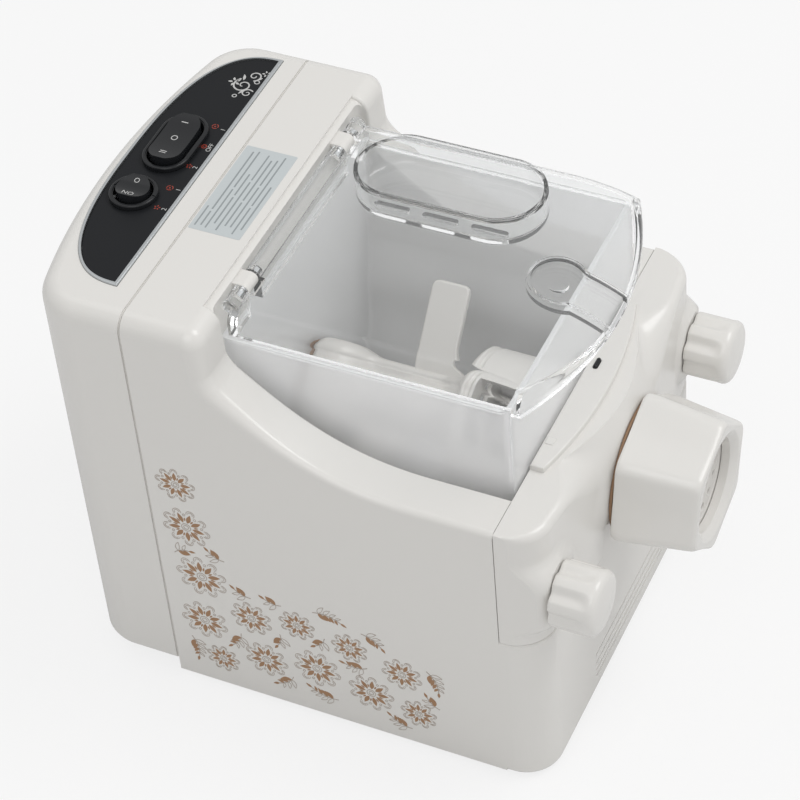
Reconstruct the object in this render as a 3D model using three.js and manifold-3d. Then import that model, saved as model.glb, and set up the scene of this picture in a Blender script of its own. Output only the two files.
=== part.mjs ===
// Electric noodle maker: a worktop machine that mixes dough in a clear bucket and presses it
// through a die at the front.
// Millimetres, +Z up. -Y is the front, where the die nut sits. -X is the machine's left side.
// The pieces are placed from the front face of the base (y = 0) and the housing's underside
// (z = 0). The whole group is then moved so that the origin is the middle of the footprint.
import * as THREE from 'three';
import { mergeVertices } from 'three/addons/utils/BufferGeometryUtils.js';
import Module from 'manifold-3d';

const wasm = await Module();
wasm.setup();

// Clearance between pieces that touch, and how far a cut runs past its face.
const gap = 0.3;
const overrun = 1;

// Driving dimensions: the drive axis and the bucket around it.
const shaftHeight = 122;
const bucketHalfWidth = 71.8;
const bucketRadius = 66;
const bucketRise = 92;
const bucketWall = 2.4;
const bucketLength = 139.2;

// Driving dimensions: the housing round the bucket.
const housingWall = 3;
const coverDepth = 21.2;
const wellSideGap = 5.2;
const railWidth = 23;
const railRise = 42;
const towerFootRise = 80;
const towerDepth = 34.5;
const towerOverLid = 7;
const towerLead = 5.5;
const towerEdge = 9;
const railEdge = 3.5;
const baseCorner = 18;
const ledgeDrop = 29.5;
const rearDepth = 57.5;
const rearLift = 7;

// Driving dimensions: the lid.
const lidRise = 14;
const lidWall = 2.4;
const lipDrop = 3;

// Driving dimensions: barrel, auger and die.
const barrelRadius = 30;
const barrelWall = 5.6;
const barrelInside = 51;
const nutLength = 39;
const nutRadius = 38;

// Driving dimensions: gears.
const gearModule = 2.25;
const pinionTeeth = 12;
const middleTeeth = 38;
const outputTeeth = 42;
const gearWidth = 7;

// Places that follow from the driving dimensions.
const rimZ = shaftHeight + bucketRise;
const lidTopZ = rimZ + lidRise;
const topZ = lidTopZ + towerOverLid;
const wellHalf = bucketHalfWidth + wellSideGap;
const halfWidth = wellHalf + railWidth;
const bucketFront = coverDepth + 2 * gap;
const bucketRear = bucketFront + bucketLength;
const wellRear = bucketRear + lidWall / 2 - gap;
const wellFloorZ = shaftHeight - bucketRadius - gap;
const seamY = wellRear + towerDepth;
const rearY = seamY + rearDepth;
const railZ = shaftHeight + railRise;
const towerFootZ = shaftHeight + towerFootRise;
const towerFrontY = wellRear - towerLead;
const ledgeZ = shaftHeight - ledgeDrop;

// Turning resolution.
const roundSides = 20;
const smallSides = 10;
const fineSides = 16;
const boltSides = 8;
const pinSides = 12;
const arcSteps = 3;

// Corner radius of a many-sided hole that clears a round of the given radius at every turn.
const holeRound = (radius, sides) => radius / Math.cos(Math.PI / sides);

// Turns a three.js geometry into a closed solid, with its faces pointing outwards.
function toSolid(geometry) {
  const bare = geometry.index ? geometry.toNonIndexed() : geometry.clone();
  bare.deleteAttribute('normal');
  bare.deleteAttribute('uv');
  const merged = mergeVertices(bare, 1e-4);
  const position = merged.attributes.position;
  const corners = [];
  let volume = 0;
  const a = new THREE.Vector3();
  const b = new THREE.Vector3();
  const c = new THREE.Vector3();
  for (let i = 0; i < merged.index.count; i += 3) {
    const [i0, i1, i2] = [0, 1, 2].map((k) => merged.index.getX(i + k));
    if (i0 === i1 || i1 === i2 || i2 === i0) continue;
    corners.push(i0, i1, i2);
    a.fromBufferAttribute(position, i0);
    b.fromBufferAttribute(position, i1);
    c.fromBufferAttribute(position, i2);
    volume += a.dot(b.cross(c));
  }
  if (volume < 0) corners.reverse();
  const mesh = new wasm.Mesh({
    numProp: 3,
    vertProperties: new Float32Array(position.array),
    triVerts: new Uint32Array(corners),
  });
  return new wasm.Manifold(mesh);
}

// Turns a solid back into a three.js geometry.
function toGeometry(solid) {
  const mesh = solid.getMesh();
  const geometry = new THREE.BufferGeometry();
  const position = new THREE.BufferAttribute(new Float32Array(mesh.vertProperties), mesh.numProp);
  geometry.setAttribute('position', position);
  geometry.setIndex(new THREE.BufferAttribute(new Uint32Array(mesh.triVerts), 1));
  geometry.computeVertexNormals();
  return geometry;
}

function joined(solids) {
  return solids.reduce((whole, next) => whole.add(next));
}

function cut(solid, tools) {
  return tools.reduce((rest, tool) => rest.subtract(tool), solid);
}

// A skin over rings of points, closed at both ends by fans. Every ring has as many points.
function loft(rings) {
  const count = rings[0].length;
  const points = rings.flat(2);
  const faces = [];
  for (let r = 0; r + 1 < rings.length; r += 1) {
    for (let i = 0; i < count; i += 1) {
      const j = (i + 1) % count;
      const [p, q] = [r * count, (r + 1) * count];
      faces.push(p + i, p + j, q + j, p + i, q + j, q + i);
    }
  }
  for (const [ring, first, turn] of [[rings[0], 0, 1], [rings.at(-1), (rings.length - 1) * count, -1]]) {
    const middle = points.length / 3;
    for (const axis of [0, 1, 2]) {
      points.push(ring.reduce((sum, point) => sum + point[axis], 0) / count);
    }
    for (let i = 0; i < count; i += 1) {
      const j = (i + 1) % count;
      faces.push(...(turn > 0 ? [middle, first + j, first + i] : [middle, first + i, first + j]));
    }
  }
  const geometry = new THREE.BufferGeometry();
  geometry.setAttribute('position', new THREE.Float32BufferAttribute(points, 3));
  geometry.setIndex(faces);
  return toSolid(geometry);
}

const ringAtX = (outline, x) => outline.map(([y, z]) => [x, y, z]);
const ringAtY = (outline, y) => outline.map(([x, z]) => [x, y, z]);
const ringAtZ = (outline, z) => outline.map(([x, y]) => [x, y, z]);

// Evenly spaced numbers from first to last.
function spread(first, last, steps) {
  return Array.from({ length: steps + 1 }, (_, i) => first + ((last - first) * i) / steps);
}

// Points on an arc from one angle to another, in radians.
function arc(cx, cy, radius, from, to, steps = arcSteps) {
  return spread(from, to, steps).map((t) => [cx + radius * Math.cos(t), cy + radius * Math.sin(t)]);
}

// A round-cornered upright section, from low to high, with its own radius below and above.
function section(half, low, high, lowRadius, highRadius, steps = arcSteps) {
  const quarter = Math.PI / 2;
  return [
    ...arc(half - lowRadius, low + lowRadius, lowRadius, -quarter, 0, 1),
    ...arc(half - highRadius, high - highRadius, highRadius, 0, quarter, steps),
    ...arc(-half + highRadius, high - highRadius, highRadius, quarter, 2 * quarter, steps),
    ...arc(-half + lowRadius, low + lowRadius, lowRadius, 2 * quarter, 3 * quarter, 1),
  ];
}

function shapeOf(points, holes = []) {
  const shape = new THREE.Shape(points.map(([x, y]) => new THREE.Vector2(x, y)));
  shape.holes = holes.map((hole) => new THREE.Path(hole.map(([x, y]) => new THREE.Vector2(x, y))));
  return shape;
}

// A long shape with two round ends, along the first axis.
function obround(cx, cy, length, width, steps = 8) {
  const radius = width / 2;
  const reach = length / 2 - radius;
  const quarter = Math.PI / 2;
  return [
    ...arc(cx + reach, cy, radius, -quarter, quarter, steps),
    ...arc(cx - reach, cy, radius, quarter, 3 * quarter, steps),
  ];
}

// Prisms: an outline in the plane across the named axis, carried along that axis.
function prism(outline, low, high, basis) {
  const shape = outline.isShape ? outline : shapeOf(outline);
  const geometry = new THREE.ExtrudeGeometry(shape, { depth: high - low, bevelEnabled: false });
  geometry.translate(0, 0, low);
  geometry.applyMatrix4(basis);
  return toSolid(geometry);
}

const alongX = new THREE.Matrix4().makeBasis(
  new THREE.Vector3(0, 1, 0), new THREE.Vector3(0, 0, 1), new THREE.Vector3(1, 0, 0));
const alongY = new THREE.Matrix4().makeBasis(
  new THREE.Vector3(1, 0, 0), new THREE.Vector3(0, 0, 1), new THREE.Vector3(0, 1, 0));
const alongZ = new THREE.Matrix4();

const prismX = (outline, low, high) => prism(outline, low, high, alongX);
const prismY = (outline, low, high) => prism(outline, low, high, alongY);
const prismZ = (outline, low, high) => prism(outline, low, high, alongZ);

function block(x0, x1, y0, y1, z0, z1) {
  const geometry = new THREE.BoxGeometry(x1 - x0, y1 - y0, z1 - z0);
  geometry.translate((x0 + x1) / 2, (y0 + y1) / 2, (z0 + z1) / 2);
  return toSolid(geometry);
}

// Round bars along each axis.
function barX(radius, x0, x1, y, z, sides = smallSides) {
  const geometry = new THREE.CylinderGeometry(radius, radius, x1 - x0, sides);
  geometry.rotateZ(Math.PI / 2);
  geometry.translate((x0 + x1) / 2, y, z);
  return toSolid(geometry);
}

function barY(radius, y0, y1, x, z, sides = roundSides) {
  const geometry = new THREE.CylinderGeometry(radius, radius, y1 - y0, sides);
  geometry.translate(x, (y0 + y1) / 2, z);
  return toSolid(geometry);
}

function barZ(radius, z0, z1, x, y, sides = smallSides) {
  const geometry = new THREE.CylinderGeometry(radius, radius, z1 - z0, sides);
  geometry.rotateX(Math.PI / 2);
  geometry.translate(x, y, (z0 + z1) / 2);
  return toSolid(geometry);
}

// A turned piece: a profile of radius and place along the axis.
function turnedY(profile, x, z, sides = roundSides) {
  const points = profile.map(([radius, along]) => new THREE.Vector2(radius, along));
  const geometry = new THREE.LatheGeometry(points, sides);
  geometry.translate(x, 0, z);
  return toSolid(geometry);
}

function turnedZ(profile, x, y, sides = smallSides) {
  const points = profile.map(([radius, along]) => new THREE.Vector2(radius, along));
  const geometry = new THREE.LatheGeometry(points, sides);
  geometry.rotateX(Math.PI / 2);
  geometry.translate(x, y, 0);
  return toSolid(geometry);
}

// Main housing: base front, two rails beside the bucket, and the tower behind it.
// The rail's top runs level, sweeps up to the tower's foot, then stands almost upright.
const sweepLength = 91.7;
const towerFootRun = 4.8;
const sweepFlatShare = 0.49;
const sweepSteepShare = 0.763;
const sweepLiftShare = 0.53;
const uprightLean = 0.6;
const uprightCurveShare = 0.35;

function housingTop(sweepSteps, curveSteps) {
  const footY = towerFrontY - towerFootRun;
  const startY = footY - sweepLength;
  const lift = railZ + (towerFootZ - railZ) * sweepLiftShare;
  const sweep = new THREE.CubicBezierCurve(
    new THREE.Vector2(startY, railZ),
    new THREE.Vector2(startY + sweepLength * sweepFlatShare, railZ),
    new THREE.Vector2(startY + sweepLength * sweepSteepShare, lift),
    new THREE.Vector2(footY, towerFootZ),
  );
  const curveZ = towerFootZ + (topZ - towerEdge - towerFootZ) * uprightCurveShare;
  const foot = new THREE.QuadraticBezierCurve(
    new THREE.Vector2(footY, towerFootZ),
    new THREE.Vector2(towerFrontY - uprightLean, (towerFootZ + curveZ) / 2),
    new THREE.Vector2(towerFrontY, curveZ),
  );
  const brow = arc(towerFrontY + uprightLean + towerEdge, topZ - towerEdge, towerEdge,
    Math.PI, Math.PI / 2, curveSteps + 1);
  return [
    [coverDepth, railZ],
    ...sweep.getPoints(sweepSteps).map((p) => [p.x, p.y]),
    ...foot.getPoints(curveSteps).slice(1).map((p) => [p.x, p.y]),
    ...brow,
    [seamY, topZ],
  ];
}

// The radius of the housing's upper long edges grows from the rails to the tower.
function edgeRadius(z) {
  const share = THREE.MathUtils.smoothstep(z, railZ, topZ - towerEdge);
  return railEdge + (towerEdge - railEdge) * share;
}

const footEdge = 2;

function railAndTower(inset) {
  const low = inset > 0 ? -footEdge - overrun : 0;
  const steps = inset > 0 ? 1 : arcSteps;
  const profile = inset > 0 ? housingTop(5, 1) : housingTop(7, 2);
  const rings = profile.map(([y, z], index, all) => {
    const last = index === all.length - 1;
    const place = last && inset > 0 ? y + overrun : y + inset;
    const radius = Math.max(edgeRadius(z) - inset, gap);
    return ringAtY(section(halfWidth - inset, low, z - inset, footEdge, radius, steps), place);
  });
  return loft(inset > 0 ? rings.filter((ring, i) => i === rings.length - 1 || ring[0][1] < seamY) : rings);
}

function baseFront(inset) {
  const low = inset > 0 ? -footEdge - overrun : 0;
  const radius = baseCorner - inset;
  const flat = halfWidth - baseCorner;
  const rings = spread(0, Math.PI / 2, 5).map((t) => {
    const half = flat + radius * Math.sin(t);
    const y = baseCorner - radius * Math.cos(t);
    return ringAtY(section(half, low, ledgeZ - inset, footEdge, footEdge, 1), y);
  });
  const last = section(halfWidth - inset, low, ledgeZ - inset, footEdge, footEdge, 1);
  rings.push(ringAtY(last, coverDepth + overrun + inset));
  return loft(rings);
}

const tongueHalf = 35.7;
const tongueRise = 22.5;
const cradleGap = 1;
const cradleRadius = barrelRadius + cradleGap;

// Horizontal lines cut into the base front.
const grooveShares = [0.094, 0.141, 0.195, 0.26];
const grooveWidth = 0.9;
const grooveDepth = 0.8;
const grooveStart = -38;
const grooveEnd = 79;

function grooves() {
  return grooveShares.map((share) => {
    const z = ledgeZ * share;
    return block(grooveStart, grooveEnd, -overrun, grooveDepth, z, z + grooveWidth);
  });
}

// The lid hinge: its axis and the housing's two ears.
const hingeBack = 4.4;
const hingeY = wellRear - hingeBack;
const hingeRadius = 4;
const hingeZ = lidTopZ - hingeRadius + gap + gap + lidWall + gap;
const earWidth = 10;
const earX = 51;
const earRadius = 3.6;
const hingePinRadius = 1.5;
const hingeHole = hingePinRadius + gap;

function ear(side) {
  const quarter = Math.PI / 2;
  const outline = [
    ...arc(hingeY, hingeZ, earRadius, quarter, 3 * quarter, 6),
    [wellRear + overrun, hingeZ - earRadius],
    [wellRear + overrun, hingeZ + earRadius],
  ];
  const low = side * earX - earWidth / 2;
  return cut(prismX(outline, low, low + earWidth), [
    barX(hingeHole, low - overrun, low + earWidth + overrun, hingeY, hingeZ),
  ]);
}

const bearingRadius = 11;
const studX = 85.3;
const studRadius = 4;
const screwX = 58;
const screwFrontY = 42;
const screwRearY = 140;
const screwRadius = 2;
const bossRadius = 5;
const plateThickness = 3;

const screwPlaces = [
  [-screwX, screwFrontY], [screwX, screwFrontY], [-screwX, screwRearY], [screwX, screwRearY],
];

function mainHousing() {
  const w = housingWall;
  const tongue = block(-tongueHalf, tongueHalf, 0, coverDepth, ledgeZ - overrun, ledgeZ + tongueRise);
  const outer = joined([railAndTower(0), baseFront(0), tongue]);
  const wellShell = block(-wellHalf - w, wellHalf + w, coverDepth - w, wellRear + w,
    wellFloorZ - w, topZ + overrun);
  const bossLow = plateThickness + 2 * gap;
  const bosses = screwPlaces.map(([x, y]) => barZ(bossRadius, bossLow, wellFloorZ - w, x, y, boltSides));
  const hollow = cut(joined([railAndTower(w), baseFront(w)]), [wellShell, ...bosses]);
  const well = block(-wellHalf, wellHalf, coverDepth, wellRear, wellFloorZ, topZ + overrun);
  const mouth = block(-wellHalf, wellHalf, -overrun, coverDepth + overrun, ledgeZ + tongueRise, topZ);
  const cradle = barY(cradleRadius, -overrun, coverDepth + overrun, 0, shaftHeight);
  const shaftHole = barY(bearingRadius + gap, wellRear - overrun, wellRear + w + overrun,
    0, shaftHeight, fineSides);
  const studHoles = [-studX, studX].map((x) => barY(studRadius + gap, coverDepth - overrun,
    coverDepth + w + overrun, x, shaftHeight, smallSides));
  const screwHoles = screwPlaces.map(([x, y]) => barZ(screwRadius + gap, 0, wellFloorZ - 2 * w,
    x, y, boltSides));
  const holes = [shaftHole, ...studHoles, ...screwHoles];
  const shell = cut(outer, [hollow, well, mouth, cradle, ...holes, ...grooves()]);
  return joined([shell, ear(-1), ear(1)]);
}

// Base plate: closes the housing from below.
function basePlate() {
  const w = housingWall + gap;
  const radius = baseCorner - w;
  const half = halfWidth - w;
  const outline = [
    ...arc(-half + radius, baseCorner, radius, Math.PI, 1.5 * Math.PI, 5),
    ...arc(half - radius, baseCorner, radius, 1.5 * Math.PI, 2 * Math.PI, 5),
    [half, seamY - gap],
    [-half, seamY - gap],
  ];
  const plate = prismZ(outline, gap, plateThickness);
  const top = plateThickness + overrun;
  const holes = screwPlaces.map(([x, y]) => barZ(screwRadius + gap, -overrun, top, x, y, boltSides));
  const sinks = screwPlaces.map(([x, y]) => barZ(screwHeadRadius + gap, -overrun,
    screwHeadDepth + 2 * gap, x, y, boltSides));
  const footHoles = footPlaces.map(([x, y]) => barZ(footStem + gap, -overrun, top, x, y, pinSides));
  return cut(plate, [...holes, ...sinks, ...footHoles]);
}

const screwHeadRadius = 4;
const screwHeadDepth = 1.4;
const screwLength = 18;

function baseScrew([x, y]) {
  return turnedZ([
    [0, gap], [screwHeadRadius, gap], [screwHeadRadius, screwHeadDepth + gap],
    [screwRadius, screwHeadDepth + gap], [screwRadius, screwLength], [0, screwLength + screwRadius],
  ], x, y, boltSides);
}

// Four rubber feet, each with a stem through the base plate.
const footRadius = 9;
const footHeight = 3.2;
const footStem = 3.6;
const footInset = 18;
const footFrontY = 20;
const footRearBack = 20;
const footX = halfWidth - footInset - railWidth / 8;
const footPlaces = [
  [-footX, footFrontY], [footX, footFrontY], [-footX, seamY - footRearBack], [footX, seamY - footRearBack],
];

function foot([x, y]) {
  return turnedZ([
    [0, -footHeight], [footRadius - gap - gap, -footHeight], [footRadius, 0],
    [footStem, 0], [footStem, plateThickness - gap], [0, plateThickness - gap],
  ], x, y, pinSides);
}

// Front cover: a soft-cornered moulded shell held by the two side knobs.
const coverBulge = 5;
const coverFillet = 25;
const coverStep = 1.5;
const coverBottom = ledgeZ + gap;
const ledgeLift = 3;
const ledgeHalf = 57;
const ledgeReach = 15;
const padRadius = 17.2;
const padFront = 3;
const collarRadius = 34;
const collarFront = 6.2;

// Where the cover's front face lies at x.
function coverFace(x) {
  const flat = halfWidth - baseCorner;
  const side = Math.abs(x);
  if (side <= flat) return -coverBulge * (1 - (side / flat) ** 2);
  const run = Math.min(side - flat, baseCorner);
  return baseCorner - Math.sqrt(baseCorner ** 2 - run ** 2);
}

function coverSection(x, inset) {
  const rear = inset > 0 ? coverDepth + overrun : coverDepth - gap;
  const face = coverFace(x) + inset;
  const low = coverBottom + inset;
  const high = railZ - inset;
  const radius = Math.min(coverFillet - inset, Math.max(rear - face - footEdge, gap));
  return [
    [rear, low], [face + coverStep, low], [face, low + coverStep],
    ...arc(face + radius, high - radius, radius, Math.PI, Math.PI / 2, inset > 0 ? 2 : 5),
    [rear, high],
  ];
}

function coverBody(inset) {
  const flat = halfWidth - baseCorner;
  const turns = spread(0, Math.PI / 2, inset > 0 ? 3 : 4).slice(1);
  const edge = turns.map((t) => flat + (baseCorner - gap) * Math.sin(t));
  const half = [...spread(0, flat, inset > 0 ? 2 : 4), ...edge];
  const xs = [...half.slice(1).reverse().map((x) => -x), ...half];
  const reach = halfWidth - gap - inset;
  const kept = xs.filter((x) => Math.abs(x) < reach);
  const all = inset > 0 ? [-reach, ...kept, reach] : xs;
  return loft(all.map((x) => ringAtX(coverSection(x, inset), x)));
}

// The low ledge on top of the cover follows the lid's front lip.
function ledgeOutline() {
  const radius = (ledgeHalf ** 2 + ledgeReach ** 2) / (2 * ledgeReach);
  const depthShare = 0.55;
  const front = coverDepth - ledgeReach;
  const spanAngle = Math.asin(ledgeHalf / radius) * depthShare;
  const scale = ledgeHalf / (radius * Math.sin(spanAngle));
  const points = arc(0, front + radius * scale, radius * scale,
    -Math.PI / 2 - spanAngle, -Math.PI / 2 + spanAngle, 8);
  return [...points, [ledgeHalf, coverDepth - gap], [-ledgeHalf, coverDepth - gap]];
}

const slotX = 13;
const slotY = 16.6;
const slotLength = 7;
const slotWidth = 2.6;
const slotSteps = 3;

// Safety plunger: the lid's lip would push it down through the slot in the ledge.
const plungerStroke = 2.5;
const plungerProud = 1.2;
const plungerHead = 1.2;
const plungerHeadDrop = 1.6;
const plungerHeadGrow = 1;
const plungerHeadTop = railZ - housingWall - plungerHeadDrop;

// The plunger's stem or head seen from above, larger by grow all round.
function plungerOutline(grow) {
  const length = slotLength - 2 * gap + 2 * grow;
  const width = slotWidth - 2 * gap + 2 * grow;
  return obround(slotX, slotY, length, width, slotSteps);
}

function interlockPlunger() {
  const low = plungerHeadTop - plungerHead;
  const stem = prismZ(plungerOutline(0), low, railZ + ledgeLift + plungerProud);
  return stem.add(prismZ(plungerOutline(plungerHeadGrow), low, plungerHeadTop));
}

function frontCover() {
  const w = housingWall;
  const rear = coverDepth - gap;
  const ledge = prismZ(ledgeOutline(), railZ - w, railZ + ledgeLift);
  const pads = [-studX, studX].map((x) => barY(padRadius, -padFront, rear, x, shaftHeight));
  const limit = block(-halfWidth + gap, halfWidth - gap, -coverDepth, rear, coverBottom, topZ);
  const collar = barY(collarRadius, -collarFront, rear, 0, shaftHeight);
  const shell = coverBody(0).subtract(coverBody(w));
  const padHollows = [-studX, studX].map((x) => {
    const wide = barY(padRadius - w, -padFront + w, rear + overrun, x, shaftHeight);
    return wide.subtract(barY(studRadius + w, -coverDepth, rear + overrun, x, shaftHeight));
  });
  const body = cut(joined([shell, ledge, ...pads, collar]), padHollows).intersect(limit);
  const notch = block(-tongueHalf - gap, tongueHalf + gap, -coverDepth, coverDepth,
    coverBottom - overrun, ledgeZ + tongueRise + gap);
  const holes = [-studX, studX].map((x) => barY(studRadius + 2 * gap, -coverDepth, rear + overrun, x,
    shaftHeight, smallSides));
  const barrelHole = barY(barrelRadius + 2 * gap, -coverDepth, coverDepth, 0, shaftHeight);
  const slot = prismZ(plungerOutline(gap), plungerHeadTop, railZ + 2 * w);
  const headRoom = prismZ(plungerOutline(plungerHeadGrow + gap),
    plungerHeadTop - plungerHead - plungerStroke - gap, plungerHeadTop + gap);
  return cut(body, [notch, barrelHole, slot, headRoom, ...holes]);
}

// Mixing bucket: a clear trough with a round bottom and upright sides.
const bucketFlareRise = 30;

function bucketSection(inset) {
  const low = Math.min(bucketRadius, wellHalf) - inset;
  const high = bucketHalfWidth - inset;
  const top = inset > 0 ? rimZ + overrun : rimZ;
  return [
    ...arc(0, shaftHeight, low, Math.PI, 2 * Math.PI, 12),
    [high, shaftHeight + bucketFlareRise],
    [high, top],
    [-high, top],
    [-high, shaftHeight + bucketFlareRise],
  ];
}

const rimFlange = 2;
const sealHole = 15;

function mixingBucket() {
  const w = bucketWall;
  const trough = loft([bucketFront, bucketRear].map((y) => ringAtY(bucketSection(0), y)));
  const inside = loft([bucketFront + w, bucketRear - w].map((y) => ringAtY(bucketSection(w), y)));
  const rim = block(-bucketHalfWidth - rimFlange, bucketHalfWidth + rimFlange, bucketFront + w,
    bucketRear, rimZ - rimFlange, rimZ);
  const rimHole = block(-bucketHalfWidth + w, bucketHalfWidth - w, bucketFront + w, bucketRear - w,
    rimZ - 2 * rimFlange, rimZ + overrun);
  const barrelHole = barY(barrelRadius + gap, bucketFront - overrun, bucketFront + w + overrun,
    0, shaftHeight);
  const shaftOpening = barY(sealHole, bucketRear - w - overrun, bucketRear + overrun, 0, shaftHeight);
  return cut(trough.add(rim), [inside, rimHole, barrelHole, shaftOpening]);
}

// Lid: a clear shallow shell with a pouring basin, a finger recess and the hinge bar.
const lipReach = 17.6;
const lidFront = coverDepth - lipReach - coverBulge + lidWall / 2;
const lidFallLength = 50;
const lidFall = 13;
const lidFallPower = 2.2;
const lidEdge = 8;
const lidSide = bucketHalfWidth;

function lidTopAt(y, front) {
  const share = THREE.MathUtils.clamp((front + lidFallLength - y) / lidFallLength, 0, 1);
  return lidTopZ - lidFall * share ** lidFallPower;
}

function lidBody(inset, drop) {
  const front = lidFront + inset;
  const half = lidSide - inset;
  const reach = lipReach;
  const radius = (half ** 2 + reach ** 2) / (2 * reach);
  const low = inset > 0 ? rimZ - 2 * lipDrop : rimZ - lipDrop;
  const lipShares = inset > 0 ? [0.05, 0.3, 0.65] : [0.03, 0.1, 0.22, 0.4, 0.65];
  const lip = lipShares.map((share) => share * reach);
  const rest = spread(reach, lidFallLength, inset > 0 ? 2 : 4);
  const rearFace = hingeY - (inset > 0 ? hingeRadius : 0);
  const places = [...lip, ...rest, rearFace - front];
  return loft(places.map((along) => {
    const wide = along < reach ? Math.sqrt(radius ** 2 - (radius - along) ** 2) : half;
    const high = lidTopAt(front + along, front) - inset - drop;
    const edge = Math.max(Math.min(lidEdge - inset, (high - rimZ) * 0.9), gap);
    const round = Math.min(edge, wide / 2);
    return ringAtY(section(wide, low, high, gap, round, inset > 0 ? 1 : 2), front + along);
  }));
}

const basinX = 46;
const basinWidth = 41;
const basinLength = 90;
const basinFront = 56;
const basinDepth = 15;
const basinSlotLength = 18;
const basinSlotWidth = 3.2;
const basinSlotPitch = 24.5;

// The basin's outline runs along Y, so its long axis is swapped.
function basinOutline(grow) {
  const middle = lidFront + basinFront + basinLength / 2;
  return obround(middle, basinX, basinLength + 2 * grow, basinWidth + 2 * grow, 10).map(([y, x]) => [x, y]);
}

function basinSlots() {
  const middle = lidFront + basinFront + basinLength / 2;
  const x = basinX - basinWidth / 2 + basinWidth / 5;
  const floorZ = lidTopZ - basinDepth;
  return [-1, 0, 1].map((k) => {
    const outline = obround(middle + k * basinSlotPitch, x, basinSlotLength, basinSlotWidth, 4);
    return prismZ(outline.map(([u, v]) => [v, u]), floorZ - 2 * lidWall, floorZ + overrun);
  });
}

const tabRadius = 13;
const tabBack = 28;
const tabHalf = 10;
const tabDepth = 2.4;

// Keyhole outline of the finger recess: a round with a channel to the lip.
function tabOutline(grow) {
  const radius = tabRadius + grow;
  const half = tabHalf + grow;
  const turn = Math.asin(half / radius);
  const cy = lidFront + tabBack;
  return [
    ...arc(0, cy, radius, -Math.PI / 2 + turn, 1.5 * Math.PI - turn, 16),
    [-half, lidFront - overrun],
    [half, lidFront - overrun],
  ];
}

function lid() {
  const w = lidWall;
  const tabCut = prismZ(tabOutline(0), rimZ - lidRise, topZ).subtract(lidBody(0, tabDepth));
  const tabKeep = prismZ(tabOutline(w), rimZ - lidRise, topZ).subtract(lidBody(w, tabDepth));
  const floorZ = lidTopZ - basinDepth;
  const cup = prismZ(basinOutline(w - gap), floorZ - w, lidTopZ - w / 2);
  const cupKeep = prismZ(basinOutline(w - gap), floorZ - w, topZ);
  const cupHollow = prismZ(basinOutline(0), floorZ, topZ);
  const bar = barX(hingeRadius, -lidSide + lidEdge / 2, lidSide - lidEdge / 2, hingeY, hingeZ, 20);
  const skirtClear = block(-halfWidth, halfWidth, bucketFront - gap, seamY, rimZ - lidRise, rimZ + gap);
  const inner = cut(lidBody(w, 0), [tabKeep, cupKeep]);
  const solid = cut(lidBody(0, 0), [skirtClear, tabCut]);
  const shell = joined([solid.subtract(inner), cup, bar]);
  const notches = [-earX, earX].map((x) => block(x - earWidth / 2 - 2 * gap, x + earWidth / 2 + 2 * gap,
    hingeY - hingeRadius - w, seamY, rimZ - overrun, topZ));
  const pinHoles = [-earX, earX].map((x) => barX(hingeHole, x - pinLength / 2 - gap, x + pinLength / 2 + gap,
    hingeY, hingeZ));
  return cut(shell, [cupHollow, ...basinSlots(), ...notches, ...pinHoles]);
}

const pinLength = 20;

function hingePin(side) {
  return barX(hingePinRadius, side * earX - pinLength / 2, side * earX + pinLength / 2, hingeY, hingeZ, 12);
}

// Extrusion barrel: a flanged tube from the bucket to the die, with a feed window on top.
const barrelBore = barrelRadius - barrelWall;
const barrelShoulder = 36;
const threadRadius = 28.4;
const nutGap = 4;
const nutRear = -coverBulge - nutGap;
const nutFront = nutRear - nutLength;
const diePlateThickness = 3.6;
const lipThickness = 7.5;
const dieFront = nutFront + lipThickness + gap;
const dieRear = dieFront + diePlateThickness;
const barrelFront = dieRear + gap;
const barrelRearY = bucketFront + bucketWall + barrelInside;
const threadEnd = nutRear + gap;
const windowFront = 18;
const windowLength = 25;
const windowWidth = 34;
const windowLean = 0.6;

function extrusionBarrel() {
  const shoulderY = bucketFront + bucketWall + gap;
  const tube = turnedY([
    [barrelBore, barrelFront], [threadRadius, barrelFront], [threadRadius, threadEnd],
    [barrelRadius, threadEnd], [barrelRadius, shoulderY], [barrelShoulder, shoulderY],
    [barrelShoulder, barrelRearY - footEdge], [barrelShoulder - footEdge, barrelRearY],
    [barrelBore, barrelRearY], [barrelBore, barrelFront],
  ], 0, shaftHeight);
  const windowGeometry = new THREE.BoxGeometry(windowWidth, windowLength, barrelShoulder);
  windowGeometry.translate(0, shoulderY + windowFront + windowLength / 2, barrelShoulder / 2 + overrun);
  windowGeometry.rotateY(-windowLean);
  windowGeometry.translate(0, 0, shaftHeight);
  return tube.subtract(toSolid(windowGeometry));
}

const sealWidth = 4;

function barrelSeal() {
  const rear = -collarFront - gap;
  const front = nutRear + 2 * gap;
  return turnedY([
    [barrelRadius + gap, front], [barrelRadius + sealWidth, front],
    [barrelRadius + sealWidth, rear], [barrelRadius + gap, rear], [barrelRadius + gap, front],
  ], 0, shaftHeight);
}

// Die nut: six broad faces between rounded ridges, narrower at the front.
const nutTurn = 0.297;
const nutTaperShare = 0.905;
const nutApothemShare = 0.895;
const nutHollowing = 0.7;
const nutSides = 36;
const nutEdge = 3;
const nutMouth = 23;

function nutRing(y, scale) {
  const outline = [];
  for (let i = 0; i < nutSides; i += 1) {
    const angle = (2 * Math.PI * i) / nutSides;
    const offFace = ((angle + Math.PI / 6) % (Math.PI / 3)) - Math.PI / 6;
    const face = (nutRadius * nutApothemShare) / Math.cos(offFace);
    const hollowing = nutHollowing * Math.cos(3 * offFace) ** 2;
    const radius = (Math.min(face, nutRadius) - hollowing) * scale;
    const turn = angle + nutTurn - Math.PI / 6;
    outline.push([radius * Math.cos(turn), shaftHeight + radius * Math.sin(turn)]);
  }
  return ringAtY(outline, y);
}

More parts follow.
